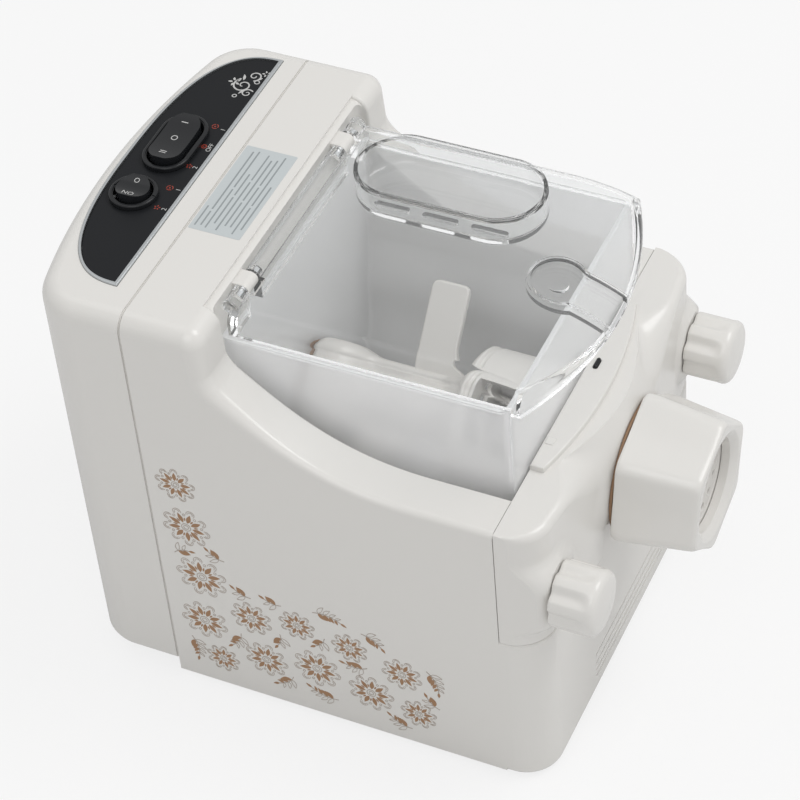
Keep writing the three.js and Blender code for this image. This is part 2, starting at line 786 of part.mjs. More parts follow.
function dieNut() {
  const edgeScale = 1 - nutEdge / nutRadius / 2;
  const rings = [
    nutRing(nutRear, edgeScale),
    nutRing(nutRear - nutEdge / 2, 1),
    nutRing(nutFront + nutEdge, nutTaperShare),
    nutRing(nutFront + nutEdge / 3, nutTaperShare - nutEdge / nutRadius / 6),
    nutRing(nutFront, nutTaperShare - nutEdge / nutRadius / 2),
  ];
  const boreRadius = holeRound(threadRadius + gap, roundSides);
  const threadBore = barY(boreRadius, dieFront - gap, nutRear + overrun, 0, shaftHeight);
  const mouth = turnedY([
    [0, nutFront - overrun], [nutMouth + nutEdge, nutFront - overrun], [nutMouth + nutEdge, nutFront],
    [nutMouth, nutFront + nutEdge], [nutMouth, dieFront], [0, dieFront],
  ], 0, shaftHeight);
  return cut(loft(rings), [threadBore, mouth]);
}

// Die plate: rings of holes that shape the noodles.
const dieHoleRadius = 1.9;
const dieRings = [[8, 6], [16.5, 12]];

function diePlate() {
  const disc = barY(threadRadius, dieFront, dieRear, 0, shaftHeight);
  const holes = dieRings.flatMap(([radius, count]) => spread(0, 2 * Math.PI, count).slice(1)
    .map((t) => barY(dieHoleRadius, dieFront - overrun, dieRear + overrun,
      radius * Math.cos(t), shaftHeight + radius * Math.sin(t), 6)));
  return cut(disc, holes);
}

// Side knobs and the studs they screw on.
const knobRadius = 16;
const knobLength = 22;
const knobFlutes = 8;
const knobFluteDepth = 1.5;
const knobDome = 2.2;
const knobEdge = 2.5;
const knobSides = 32;
const knobRear = -padFront - 2 * gap;
const knobBore = 15;
const studFlange = 4.8;

function knob(x) {
  const ring = (y, shrink) => ringAtY(spread(0, 2 * Math.PI, knobSides).slice(1).map((t) => {
    const flute = knobFluteDepth * (0.5 + 0.5 * Math.cos(knobFlutes * t)) ** 2;
    const radius = knobRadius - flute - shrink;
    return [x + radius * Math.cos(t), shaftHeight + radius * Math.sin(t)];
  }), y);
  const front = knobRear - knobLength;
  const body = loft([
    ring(knobRear, 0), ring(front + knobEdge, 0), ring(front + knobEdge / 4, knobEdge / 2),
    ring(front - knobDome / 2, knobRadius / 2),
  ]);
  const boreRadius = holeRound(studRadius + gap, smallSides);
  return body.subtract(barY(boreRadius, knobRear - knobBore, knobRear + overrun, x, shaftHeight, smallSides));
}

function stud(x) {
  const wallRear = coverDepth + housingWall + gap;
  return turnedY([
    [0, knobRear - knobBore + gap], [studRadius, knobRear - knobBore + gap + gap], [studRadius, wallRear],
    [studFlange, wallRear], [studFlange, wallRear + housingWall], [0, wallRear + housingWall],
  ], x, shaftHeight, smallSides);
}

// Auger: a core with a screw flight, keyed into the stirring rod.
const augerCore = 9;
const augerPitch = 24;
const flightThickness = 4;
const flightGap = 0.8;
const keySides = 6;
const keyRadius = 6;
const keyLength = 14;
const rodEase = 3;
const augerTipShare = 0.6;
const rodFront = barrelRearY + rodEase;
const augerRear = rodFront - gap;
const augerFront = barrelFront + 2;

function auger() {
  const outer = barrelBore - flightGap;
  const inner = augerCore / 2;
  const length = augerRear - augerFront - 2 * flightThickness - overrun;
  const turns = length / augerPitch;
  const steps = Math.round(turns * 11);
  const rings = spread(0, 1, steps).map((share) => {
    const t = share * turns * 2 * Math.PI;
    const y = augerFront + flightThickness + overrun / 2 + share * length;
    const [dx, dz] = [Math.sin(t), Math.cos(t)];
    const half = flightThickness / 2;
    return [[inner, -half], [outer, -half / 2], [outer, half / 2], [inner, half]]
      .map(([radius, along]) => [radius * dx, y + along, shaftHeight + radius * dz]);
  });
  const core = turnedY([
    [0, augerFront], [augerCore * augerTipShare, augerFront], [augerCore, augerFront + flightThickness],
    [augerCore, augerRear], [0, augerRear],
  ], 0, shaftHeight, 20);
  const key = barY(keyRadius, augerRear - overrun, augerRear + keyLength, 0, shaftHeight, keySides);
  return joined([core, loft(rings), key]);
}

// Stirring rod: a hub on the drive shaft with flat blades standing out from it.
const shaftRadius = 6;
const hubRadius = 24;
const rodRadius = 13;
const bladeReach = 60;
const bladeThickness = 4;
const bladeWidth = 19;
const bladeCorner = 2;
const webRun = 11;
const webRise = 26;
const rodBack = 4;
const rodRear = bucketRear - bucketWall - rodBack;
const shaftBite = 16;

// Each blade's turn about the shaft, and its place as a share of the rod's length.
const bladeShares = [[0.7, 0.28], [3.9, 0.55], [2.3, 0.76]];

// The rod's profile: shares of the core or hub radius, and of the rod's length.
const collarShare = 1.2;
const hubStepShare = 0.75;
const rodLengthShares = [0.1, 0.16, 0.62, 0.72, 0.86];

function blade([turn, share]) {
  const y = rodFront + (rodRear - rodFront) * share;
  const half = bladeWidth / 2;
  const outline = [
    [y - half - webRun, 0], [y + half, 0], [y + half, bladeReach - bladeCorner],
    [y + half - bladeCorner, bladeReach], [y - half + bladeCorner, bladeReach],
    [y - half, bladeReach - bladeCorner], [y - half, webRise], [y - half - webRun, rodRadius],
  ];
  const shape = shapeOf(outline);
  const geometry = new THREE.ExtrudeGeometry(shape, { depth: bladeThickness, bevelEnabled: false });
  geometry.translate(0, 0, -bladeThickness / 2);
  geometry.applyMatrix4(alongX);
  geometry.rotateY(turn);
  geometry.translate(0, 0, shaftHeight);
  return toSolid(geometry);
}

function stirringRod() {
  const along = rodLengthShares.map((share) => rodFront + (rodRear - rodFront) * share);
  const core = turnedY([
    [0, rodFront], [rodRadius * collarShare, rodFront], [rodRadius * collarShare, along[0]],
    [rodRadius, along[1]], [rodRadius, along[2]],
    [hubRadius * hubStepShare, along[3]], [hubRadius, along[4]],
    [hubRadius, rodRear - footEdge], [hubRadius - footEdge, rodRear], [0, rodRear],
  ], 0, shaftHeight, 24);
  const socket = barY(keyRadius + gap, rodFront - overrun, rodFront + keyLength + overrun,
    0, shaftHeight, keySides);
  const bore = barY(shaftRadius + gap, rodRear - shaftBite - gap, rodRear + overrun,
    0, shaftHeight, fineSides);
  return cut(joined([core, ...bladeShares.map(blade)]), [socket, bore]);
}

// Drive shaft, its bearing and the seal in the bucket's rear wall.
const caseFront = wellRear + housingWall + gap;
const caseWall = 3;
const bearingFlange = 14;
const bearingFlangeDepth = 1.5;
const gearFront = caseFront + caseWall + gap + bearingFlangeDepth + gap;
const gearSpace = 1.5;
const secondFront = gearFront + gearWidth + gearSpace;
const caseRear = secondFront + gearWidth + gearSpace;
const driveShaftRear = gearFront + gearWidth + gearSpace / 3;

function driveShaft() {
  return barY(shaftRadius, rodRear - shaftBite, driveShaftRear, 0, shaftHeight, fineSides);
}

function shaftBearing() {
  const front = wellRear + gap;
  const back = caseFront + caseWall + gap;
  return turnedY([
    [shaftRadius + gap, front], [bearingRadius, front], [bearingRadius, back], [bearingFlange, back],
    [bearingFlange, back + bearingFlangeDepth], [shaftRadius + gap, back + bearingFlangeDepth],
    [shaftRadius + gap, front],
  ], 0, shaftHeight, fineSides);
}

const sealFlange = 2.5;
const sealLip = 1.4;

function shaftSeal() {
  const wallFront = bucketRear - bucketWall;
  const lip = sealHole + sealFlange;
  const bore = shaftRadius + gap;
  return turnedY([
    [bore, rodRear + gap + gap], [sealHole - sealFlange, rodRear + gap + gap],
    [lip, wallFront - gap - sealLip], [lip, wallFront - gap], [sealHole - gap, wallFront - gap],
    [sealHole - gap, bucketRear - gap], [bore, bucketRear - gap],
    [bore, rodRear + gap + gap],
  ], 0, shaftHeight, fineSides);
}

// Gear train: motor pinion, middle gear with its own pinion, output gear on the drive shaft.
const pitchRadius = (teeth) => (gearModule * teeth) / 2;
const outputSpan = pitchRadius(outputTeeth) + pitchRadius(pinionTeeth);
const motorSpan = pitchRadius(middleTeeth) + pitchRadius(pinionTeeth);
const middleLean = 0.63;
const motorLean = 1.36;
const middleX = -outputSpan * Math.sin(middleLean);
const middleZ = shaftHeight - outputSpan * Math.cos(middleLean);
const motorX = middleX + motorSpan * Math.sin(motorLean);
const motorZ = middleZ - motorSpan * Math.cos(motorLean);
const addendumShare = 0.85;
const dedendumShare = 1.15;
const rootWidthShare = 0.33;
const tipWidthShare = 0.115;

// A toothed outline. A tooth stands at the angle given.
function gearOutline(teeth, x, z, toothAngle) {
  const radius = pitchRadius(teeth);
  const tip = radius + gearModule * addendumShare;
  const root = radius - gearModule * dedendumShare;
  const step = (2 * Math.PI) / teeth;
  const marks = [
    [-rootWidthShare, root], [-tipWidthShare, tip], [tipWidthShare, tip], [rootWidthShare, root],
  ];
  return spread(0, teeth - 1, teeth - 1).flatMap((k) => marks.map(([turnShare, r]) => {
    const t = toothAngle + (k + turnShare) * step;
    return [x + r * Math.cos(t), z + r * Math.sin(t)];
  }));
}

// Angles, seen in the XZ plane, from one gear's centre to the next.
const outputToMiddle = Math.atan2(middleZ - shaftHeight, middleX);
const middleToMotor = Math.atan2(motorZ - middleZ, motorX - middleX);
const halfTooth = (teeth) => Math.PI / teeth;

const gearWeb = 2;
const rimModules = 3;

function outputGear() {
  const teeth = gearOutline(outputTeeth, 0, shaftHeight, outputToMiddle);
  const wheel = prismY(teeth, gearFront, gearFront + gearWidth);
  const rimInner = pitchRadius(outputTeeth) - gearModule * rimModules;
  const hub = shaftRadius * 2;
  const dishLow = gearFront + (gearWidth + gearWeb) / 2;
  const back = gearFront + gearWidth + overrun;
  const dish = barY(rimInner, dishLow, back, 0, shaftHeight)
    .subtract(barY(hub, dishLow - overrun, back + overrun, 0, shaftHeight, pinSides));
  return cut(wheel, [dish, barY(shaftRadius + gap, gearFront - overrun, back, 0, shaftHeight, fineSides)]);
}

const axleRadius = 4;

function middleGear() {
  const smallAngle = outputToMiddle + Math.PI + halfTooth(pinionTeeth);
  const small = prismY(gearOutline(pinionTeeth, middleX, middleZ, smallAngle), gearFront, secondFront);
  const large = prismY(gearOutline(middleTeeth, middleX, middleZ, middleToMotor),
    secondFront, secondFront + gearWidth);
  const bore = barY(axleRadius + gap, gearFront - overrun, caseRear, middleX, middleZ, smallSides);
  return cut(joined([small, large]), [bore]);
}

function middleAxle() {
  return barY(axleRadius, caseFront + gap, caseRear + caseWall, middleX, middleZ, smallSides);
}

const motorShaftRadius = 3;
const motorRadius = 32;
const motorLength = 42;
const motorFront = caseRear + caseWall + 2 * gap;
const motorRear = motorFront + motorLength;
const fanWidth = 7;
const fanRadius = 28;
const fanFront = motorRear + 2;

function motorRotor() {
  const angle = middleToMotor + Math.PI + halfTooth(pinionTeeth);
  const teeth = gearOutline(pinionTeeth, motorX, motorZ, angle);
  const pinion = prismY(teeth, secondFront, secondFront + gearWidth);
  const shaft = barY(motorShaftRadius, secondFront, fanFront + fanWidth, motorX, motorZ, smallSides);
  return pinion.add(shaft);
}

const motorBand = 2;
const motorWaistShares = [0.28, 0.33, 0.67, 0.72];

function motorCan() {
  const bore = motorShaftRadius + gap;
  const edge = motorRadius - motorBand;
  const waist = motorWaistShares.map((share) => motorFront + motorLength * share);
  return turnedY([
    [bore, motorFront], [edge, motorFront], [motorRadius, motorFront + motorBand],
    [motorRadius, waist[0]], [edge, waist[1]], [edge, waist[2]], [motorRadius, waist[3]],
    [motorRadius, motorRear - motorBand], [edge, motorRear], [bore, motorRear], [bore, motorFront],
  ], motorX, motorZ, fineSides);
}

const fanBlades = 7;
const fanBladeThickness = 1.6;
const fanPitch = 0.55;
const fanHub = 8;
const fanBladeShare = 0.95;

function coolingFan() {
  const hub = barY(fanHub, fanFront, fanFront + fanWidth, motorX, motorZ);
  const blades = spread(0, 2 * Math.PI, fanBlades).slice(1).map((turn) => {
    const length = fanRadius - fanHub / 2;
    const geometry = new THREE.BoxGeometry(length, fanBladeThickness, fanWidth * fanBladeShare);
    geometry.rotateX(fanPitch - Math.PI / 2);
    geometry.translate(fanHub / 2 + length / 2, 0, 0);
    geometry.rotateY(turn);
    geometry.translate(motorX, fanFront + fanWidth / 2, motorZ);
    return toSolid(geometry);
  });
  const bore = barY(motorShaftRadius + gap, fanFront - overrun, fanFront + fanWidth + overrun,
    motorX, motorZ, smallSides);
  return joined([hub, ...blades]).subtract(bore);
}

// Gearbox: an open case round the gears and a flat cover that carries the motor.
const gearClear = 2;

function gearSpaces(grow, low, high) {
  const tip = gearModule * addendumShare + gearClear + grow;
  return joined([
    barY(pitchRadius(outputTeeth) + tip, low, high, 0, shaftHeight),
    barY(pitchRadius(middleTeeth) + tip, low, high, middleX, middleZ),
    barY(pitchRadius(pinionTeeth) + tip, low, high, motorX, motorZ, fineSides),
  ]);
}

function gearboxCase() {
  const body = gearSpaces(caseWall, caseFront, caseRear - gap);
  const hollow = gearSpaces(0, caseFront + caseWall, caseRear + overrun);
  const [low, high] = [caseFront - overrun, caseFront + caseWall + overrun];
  const bearing = barY(bearingRadius + gap, low, high, 0, shaftHeight, fineSides);
  const axle = barY(axleRadius + gap, low, high, middleX, middleZ, smallSides);
  return cut(body, [hollow, bearing, axle]);
}

function gearboxCover() {
  const plate = gearSpaces(caseWall, caseRear, caseRear + caseWall);
  const [low, high] = [caseRear - overrun, caseRear + caseWall + overrun];
  const axle = barY(axleRadius + gap, low, high, middleX, middleZ, smallSides);
  const shaft = barY(motorShaftRadius + 2 * gap, low, high, motorX, motorZ, smallSides);
  return cut(plate, [axle, shaft]);
}

// Rear cover: a rounded shell behind the seam that carries the control panel.
const rearSide = 24.5;
const rearCorner = 24;
const bottomEdge = 2;

// The back's wide arc meets the two corner arcs smoothly.
function rearOutline(inset, front, cornerSteps) {
  const cornerX = halfWidth - rearCorner;
  const cornerY = seamY + rearSide;
  const drop = rearY - cornerY;
  const backRadius = (cornerX ** 2 + drop ** 2 - rearCorner ** 2) / (2 * (drop - rearCorner));
  const backY = rearY - backRadius;
  const meet = Math.atan2(cornerY - backY, cornerX);
  const corner = rearCorner - inset;
  return [
    [halfWidth - inset, front],
    ...arc(cornerX, cornerY, corner, 0, meet, cornerSteps),
    ...arc(0, backY, backRadius - inset, meet, Math.PI - meet, 8).slice(1, -1),
    ...arc(-cornerX, cornerY, corner, Math.PI - meet, Math.PI, cornerSteps),
    [-halfWidth + inset, front],
  ];
}

function rearArcY(x, offset) {
  const cornerX = halfWidth - rearCorner;
  const drop = rearY - seamY - rearSide;
  const backRadius = (cornerX ** 2 + drop ** 2 - rearCorner ** 2) / (2 * (drop - rearCorner)) + offset;
  return rearY + offset - backRadius + Math.sqrt(backRadius ** 2 - x ** 2);
}

function rearBody(inset) {
  const front = inset > 0 ? seamY - overrun : seamY + gap / 2;
  const radius = towerEdge - inset;
  const turns = spread(0, Math.PI / 2, inset > 0 ? 2 : 4);
  const top = topZ - inset;
  const upper = turns.map((t) => [inset + radius * (1 - Math.cos(t)), top - radius * (1 - Math.sin(t))]);
  const lower = [[inset + bottomEdge, rearLift + inset], [inset, rearLift + inset + bottomEdge]];
  const steps = inset > 0 ? 2 : 4;
  return loft([...lower, ...upper].map(([back, z]) => ringAtZ(rearOutline(back, front, steps), z)));
}

// Control panel outline: a straight front edge and a full rounded rear edge.
const panelX = 5;
const panelHalf = 83;
const panelFront = 12.2;
const panelDepth = 36;
const panelPower = 2.6;
const trimWidth = 1.8;
const panelThickness = 1.8;
const panelRecess = 1.6;
const trimProud = 0.7;

function panelOutline(grow) {
  const half = panelHalf + grow;
  const front = seamY + panelFront - grow;
  const depth = panelDepth + 2 * grow;
  return spread(0, Math.PI, 22).map((t) => {
    const [c, s] = [Math.cos(t), Math.abs(Math.sin(t))];
    const x = half * Math.sign(c) * Math.abs(c) ** (2 / panelPower);
    return [panelX + x, front + depth * s ** (2 / panelPower)];
  });
}

// Switches: a small round rocker and a large oval one, each in its own bezel.
const powerX = -22;
const powerBack = 32.5;
const powerCap = 16;
const programX = 16;
const programBack = 30.5;
const programLength = 34;
const programWidth = 16;
const bezelGap = 1.4;
const bezelWall = 1.2;
const bezelFlange = 1;
const bezelProud = 2.4;
const switchDepth = 11;
const rockerRise = 6;
const pivotDrop = 4;
const rockerPin = 1.2;
const rockerSag = 1.6;
const rockerEdge = 1;
const rockerHollowShares = [0.5, 0.7];
const bezelUprightShare = 0.6;

const switches = {
  power: { x: powerX, y: seamY + powerBack, length: powerCap, width: powerCap },
  program: { x: programX, y: seamY + programBack, length: programLength, width: programWidth },
};

function switchOutline({ x, y, length, width }, grow) {
  return obround(x, y, length + 2 * grow, width + 2 * grow, 6);
}

const panelTop = topZ - panelRecess + panelThickness;

// The bar across a switch on its pivot, thicker by grow, to the given reach on each side.
function pivotBar({ x, y }, reach, grow) {
  return barY(rockerPin + grow, y - reach, y + reach, x, topZ - pivotDrop, pinSides);
}

function switchBezel(kind) {
  const wall = switchOutline(kind, bezelGap + bezelWall);
  const flange = switchOutline(kind, bezelGap + bezelWall + bezelFlange);
  const rim = switchOutline(kind, bezelGap + bezelWall + bezelFlange / 2);
  const opening = switchOutline(kind, bezelGap);
  const base = panelTop + gap;
  const body = joined([
    prismZ(wall, base - switchDepth, base + overrun),
    loft([
      ringAtZ(flange, base), ringAtZ(flange, base + bezelProud * bezelUprightShare),
      ringAtZ(rim, base + bezelProud),
    ]),
  ]);
  const pinBar = pivotBar(kind, kind.length, gap);
  return cut(body, [prismZ(opening, base - switchDepth - overrun, topZ + switchDepth), pinBar]);
}

function rocker(kind) {
  const top = panelTop + rockerRise;
  const low = topZ - pivotDrop - rockerPin - 2 * gap - rockerEdge;
  const half = kind.length / 2;
  const [reachShare, sagShare] = rockerHollowShares;
  const hollow = [half * reachShare, top - rockerSag * sagShare];
  const right = [
    [half, low + rockerEdge], [half, top - rockerEdge], [half - rockerEdge, top], hollow,
  ];
  const left = right.map(([x, z]) => [-x, z]).reverse();
  const profile = [[0, low - rockerEdge], ...right, [0, top - rockerSag], ...left];
  const slab = prismY(profile.map(([x, z]) => [kind.x + x, z]), kind.y - kind.width, kind.y + kind.width);
  const round = prismZ(switchOutline(kind, 0), low - 2 * overrun, top + overrun);
  return slab.intersect(round).subtract(pivotBar(kind, kind.width, gap));
}

function rockerPinBar(kind) {
  return pivotBar(kind, kind.width / 2 + bezelGap + bezelWall - gap, 0);
}

function controlPanel() {
  const low = topZ - panelRecess + gap / 2;
  const plate = prismZ(panelOutline(-gap / 2), low, panelTop);
  const holes = Object.values(switches).map((kind) => prismZ(
    switchOutline(kind, bezelGap + bezelWall + gap), low - overrun, panelTop + overrun));
  return cut(plate, holes);
}

function panelTrim() {
  const low = topZ - panelRecess + gap / 2;
  const ring = prismZ(panelOutline(trimWidth), low, panelTop + trimProud);
  return ring.subtract(prismZ(panelOutline(gap / 2), low - overrun, panelTop + 2 * trimProud));
}

// Vent grille on the lower back, and the opening behind it.
const ventHalf = 68;
const ventLow = 20;
const ventHeight = 40;
const ventProud = 5.5;
const ventSlots = 6;
const ventSlotHeight = 3;
const ventFrame = 6;

function rearVentGrille() {
  const xs = spread(ventHalf, -ventHalf, 6);
  const reveal = ventFrame / 3;
  const inner = xs.map((x) => [x, rearArcY(x, gap)]);
  const outer = xs.map((x) => [x * (1 - reveal / ventHalf), rearArcY(x, ventProud)]).reverse();
  const plate = prismZ([...inner, ...outer], ventLow, ventLow + ventHeight);
  const pitch = (ventHeight - 2 * ventFrame - ventSlotHeight) / (ventSlots - 1);
  const slots = spread(0, ventSlots - 1, ventSlots - 1).map((k) => {
    const z = ventLow + ventFrame + k * pitch;
    return block(-ventHalf + 2 * ventFrame, ventHalf - 2 * ventFrame, seamY, rearY + 2 * ventProud,
      z, z + ventSlotHeight);
  });
  return cut(plate, slots);
}

// Mains inlet above the fan: a recess with three contact blades.
const inletWidth = 30;
const inletHeight = 23;
const inletRise = 7.4;
const inletZ = motorZ + fanRadius + inletHeight / 2 + inletRise;
const inletDepth = 20;
const inletWall = 3;
const inletFlange = 2;
const inletProud = 1.5;
const inletFloor = 4;
const inletBlade = 2;
const inletBladeReach = 9;
const inletBladeSpread = 7;

function powerInlet() {
  const half = inletWidth / 2;
  const tall = inletHeight / 2;
  const face = rearY + inletProud;
  const body = joined([
    block(-half, half, rearY - inletDepth, rearY + gap, inletZ - tall, inletZ + tall),
    block(-half - inletFlange, half + inletFlange, rearY + gap, face,
      inletZ - tall - inletFlange, inletZ + tall + inletFlange),
  ]);
  const recess = block(-half + inletWall, half - inletWall, rearY - inletDepth + inletFloor, face + overrun,
    inletZ - tall + inletWall, inletZ + tall - inletWall);
  const floorY = rearY - inletDepth + inletFloor - overrun;
  const blades = [[-1, -1], [1, -1], [0, 1]].map(([side, up]) => {
    const x = side * inletBladeSpread;
    const z = inletZ + (up * inletBladeSpread) / 4;
    return block(x - inletBlade / 2, x + inletBlade / 2, floorY, floorY + inletBladeReach,
      z - inletBlade, z + inletBlade);
  });
  return joined([body.subtract(recess), ...blades]);
}

// Circuit board under the control panel, with its larger components.
const boardHalf = 58;
const boardThickness = 1.6;
const boardDrop = 28;
const boardFront = 6;
const boardDepth = 34;
const postRadius = 3;

const boardTop = topZ - boardDrop;
const capacitorRadius = 6;
const capacitorDrop = 18;
const capacitorPitch = 15;
const transformerHalf = 8;
const transformerDrop = 16;
const relayHalf = 6;
const relayDrop = 11;

// The transformer and the relay: their span as shares of the board's half length.
const boardBoxes = [
  { shares: [-0.75, -0.2], half: transformerHalf, drop: transformerDrop },
  { shares: [0.45, 0.8], half: relayHalf, drop: relayDrop },
];
const postPlaces = [
  [-boardHalf + 2 * postRadius, boardFront + 2 * postRadius],
  [boardHalf - 2 * postRadius, boardFront + 2 * postRadius],
  [-boardHalf + 2 * postRadius, boardFront + boardDepth - 2 * postRadius],
  [boardHalf - 2 * postRadius, boardFront + boardDepth - 2 * postRadius],
];

function circuitBoard() {
  const y = seamY + boardFront;
  const plate = block(-boardHalf, boardHalf, y, y + boardDepth, boardTop - boardThickness, boardTop);
  const under = boardTop - boardThickness / 2;
  const middle = y + boardDepth / 2;
  const boxes = boardBoxes.map(({ shares, half, drop }) => block(boardHalf * shares[0],
    boardHalf * shares[1], middle - half, middle + half, under - drop, under));
  const cans = [0, capacitorPitch].map((x) => barZ(capacitorRadius, under - capacitorDrop, under,
    x, middle, fineSides));
  return joined([plate, ...boxes, ...cans]);
}

function rearCover() {
  const w = housingWall;
  const shell = rearBody(0).subtract(rearBody(w));
  const posts = postPlaces.map(([x, y]) => barZ(postRadius, boardTop + gap, topZ - w / 2,
    x, seamY + y, pinSides));
  const ventOpening = block(-ventHalf + ventFrame, ventHalf - ventFrame, seamY + rearSide, rearY + overrun,
    ventLow + ventFrame / 2, ventLow + ventHeight - ventFrame / 2);
  const inletHole = block(-inletWidth / 2 - gap, inletWidth / 2 + gap, rearY - inletDepth, rearY + overrun,
    inletZ - inletHeight / 2 - gap, inletZ + inletHeight / 2 + gap);
  const recess = prismZ(panelOutline(trimWidth + gap / 2), topZ - panelRecess, topZ + overrun);
  const switchHoles = Object.values(switches).map((kind) => prismZ(
    switchOutline(kind, bezelGap + bezelWall + gap), topZ - 2 * w, topZ + overrun));
  return cut(joined([shell, ...posts]), [ventOpening, inletHole, recess, ...switchHoles]);
}

// Finishes, as seen on the machine.
function finish(name, colour, roughness, metalness = 0, opacity = 1) {
  return new THREE.MeshStandardMaterial({ name, color: colour, roughness, metalness, opacity,
    transparent: opacity < 1 });
}

const finishes = {
  shell: finish('shell', 0xe2e1dc, 0.35),
  clear: finish('clear', 0xdfe6e6, 0.08, 0, 0.35),
  black: finish('black', 0x26292b, 0.25),
  silver: finish('silver', 0xbec3c4, 0.3, 0.8),
  die: finish('die', 0xd6d4cc, 0.4),
  steel: finish('steel', 0xa9abad, 0.35, 0.9),
  rubber: finish('rubber', 0x3a3a3a, 0.8),
  seal: finish('seal', 0xa98e72, 0.7),
  gear: finish('gear', 0xd9d2bd, 0.5),
  motor: finish('motor', 0x7c8084, 0.45, 0.7),
  board: finish('board', 0x2f5d3a, 0.6),
};

const pieces = [
  ['main_housing', mainHousing(), 'shell'],
  ['base_plate', basePlate(), 'shell'],
  ['rear_cover', rearCover(), 'shell'],
  ['front_cover', frontCover(), 'shell'],
  ['interlock_plunger', interlockPlunger(), 'black'],
  ['mixing_bucket', mixingBucket(), 'clear'],
  ['lid', lid(), 'clear'],
  ['lid_hinge_pin_left', hingePin(-1), 'steel'],
  ['lid_hinge_pin_right', hingePin(1), 'steel'],
  ['extrusion_barrel', extrusionBarrel(), 'die'],
  ['barrel_seal', barrelSeal(), 'seal'],
  ['die_nut', dieNut(), 'shell'],
  ['die_plate', diePlate(), 'die'],
  ['knob_left', knob(-studX), 'shell'],
  ['knob_right', knob(studX), 'shell'],
  ['stud_left', stud(-studX), 'steel'],
  ['stud_right', stud(studX), 'steel'],
  ['auger', auger(), 'die'],
  ['stirring_rod', stirringRod(), 'die'],
  ['drive_shaft', driveShaft(), 'steel'],
  ['shaft_bearing', shaftBearing(), 'steel'],
  ['shaft_seal', shaftSeal(), 'seal'],
  ['output_gear', outputGear(), 'gear'],
  ['middle_gear', middleGear(), 'gear'],
  ['middle_axle', middleAxle(), 'steel'],
  ['motor_rotor', motorRotor(), 'steel'],
  ['motor_can', motorCan(), 'motor'],
  ['cooling_fan', coolingFan(), 'black'],
  ['gearbox_case', gearboxCase(), 'gear'],
  ['gearbox_cover', gearboxCover(), 'gear'],
  ['control_panel', controlPanel(), 'black'],
  ['panel_trim', panelTrim(), 'silver'],
  ['power_bezel', switchBezel(switches.power), 'black'],
  ['power_rocker', rocker(switches.power), 'black'],
  ['power_rocker_pin', rockerPinBar(switches.power), 'steel'],
  ['program_bezel', switchBezel(switches.program), 'black'],
  ['program_rocker', rocker(switches.program), 'black'],
  ['program_rocker_pin', rockerPinBar(switches.program), 'steel'],
  ['rear_vent_grille', rearVentGrille(), 'shell'],
  ['power_inlet', powerInlet(), 'black'],
  ['circuit_board', circuitBoard(), 'board'],
];
footPlaces.forEach((place, i) => pieces.push([`foot_${i + 1}`, foot(place), 'rubber']));
screwPlaces.forEach((place, i) => pieces.push([`base_screw_${i + 1}`, baseScrew(place), 'steel']));

// The group stands on its feet, with its origin under the middle of the whole length.
const group = new THREE.Group();
for (const [name, solid, look] of pieces) {
  const mesh = new THREE.Mesh(toGeometry(solid), finishes[look]);
  mesh.name = name;
  group.add(mesh);
}
const rearReach = rearY + ventProud;
group.position.set(0, -(nutFront + rearReach) / 2, footHeight);

export default group;
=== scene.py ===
"""Dresses the noodle maker's frame: moulded shells, clear bucket and lid, die, switches and print.

Shapes are worked out in the machine's own millimetres: y = 0 is the front face of the base and
z = 0 the housing's underside. They are moved into the frame when a piece is finished.
"""

import math

import bmesh
import bpy
import numpy as np
from mathutils import Matrix, Vector


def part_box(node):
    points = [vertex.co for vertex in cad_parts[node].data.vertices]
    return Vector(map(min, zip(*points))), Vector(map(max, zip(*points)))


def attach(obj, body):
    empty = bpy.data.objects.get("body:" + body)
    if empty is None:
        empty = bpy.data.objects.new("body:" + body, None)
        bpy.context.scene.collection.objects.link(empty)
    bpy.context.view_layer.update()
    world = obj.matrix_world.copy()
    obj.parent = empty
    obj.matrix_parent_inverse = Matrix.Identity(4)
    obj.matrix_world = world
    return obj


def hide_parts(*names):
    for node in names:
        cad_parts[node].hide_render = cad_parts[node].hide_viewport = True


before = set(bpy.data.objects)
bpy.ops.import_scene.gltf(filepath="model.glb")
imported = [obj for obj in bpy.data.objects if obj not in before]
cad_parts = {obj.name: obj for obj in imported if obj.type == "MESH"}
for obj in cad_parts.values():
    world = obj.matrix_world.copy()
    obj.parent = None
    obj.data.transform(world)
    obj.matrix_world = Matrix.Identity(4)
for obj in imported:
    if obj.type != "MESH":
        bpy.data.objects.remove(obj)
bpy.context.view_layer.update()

bl_info = {
    "name": "Noodle maker",
    "version": (1, 0, 0),
    "blender": (4, 5, 0),
    "location": "3D View > Sidebar > Noodle maker",
    "description": "Builds a worktop noodle maker on its packed frame",
    "category": "Add Mesh",
}

MM = 0.001
FRONT_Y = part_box("main_housing")[0].y / MM
FOOT_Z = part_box("main_housing")[0].z / MM
PI = math.pi

# The machine's main places, as the frame holds them.
HALF = 100.0
SHAFT_Z = 122.0
BUCKET_FRONT, BUCKET_REAR = 21.8, 161.0
WELL_HALF, WELL_FRONT, WELL_REAR, WELL_FLOOR = 77.0, 21.2, 161.9, 55.7
BUCKET_HALF, RIM_Z, LID_TOP = 71.8, 214.0, 228.0
TOP_Z, SEAM_Y, REAR_Y = 235.0, 196.4, 253.9
RAIL_Z, LEDGE_Z = 164.0, 92.5
HINGE_Y, HINGE_Z, EAR_X = 157.5, 227.3, 51.0
LID_FRONT = -0.2
STUD_X = 85.3
PANEL_TOP = 235.2
CAP_TOP, CAP_EDGE = PANEL_TOP + 6.0, 0.6
BASIN_X, BASIN_Y = 46.0, 100.8
ROD_FRONT, ROD_REAR = 78.2, 154.6
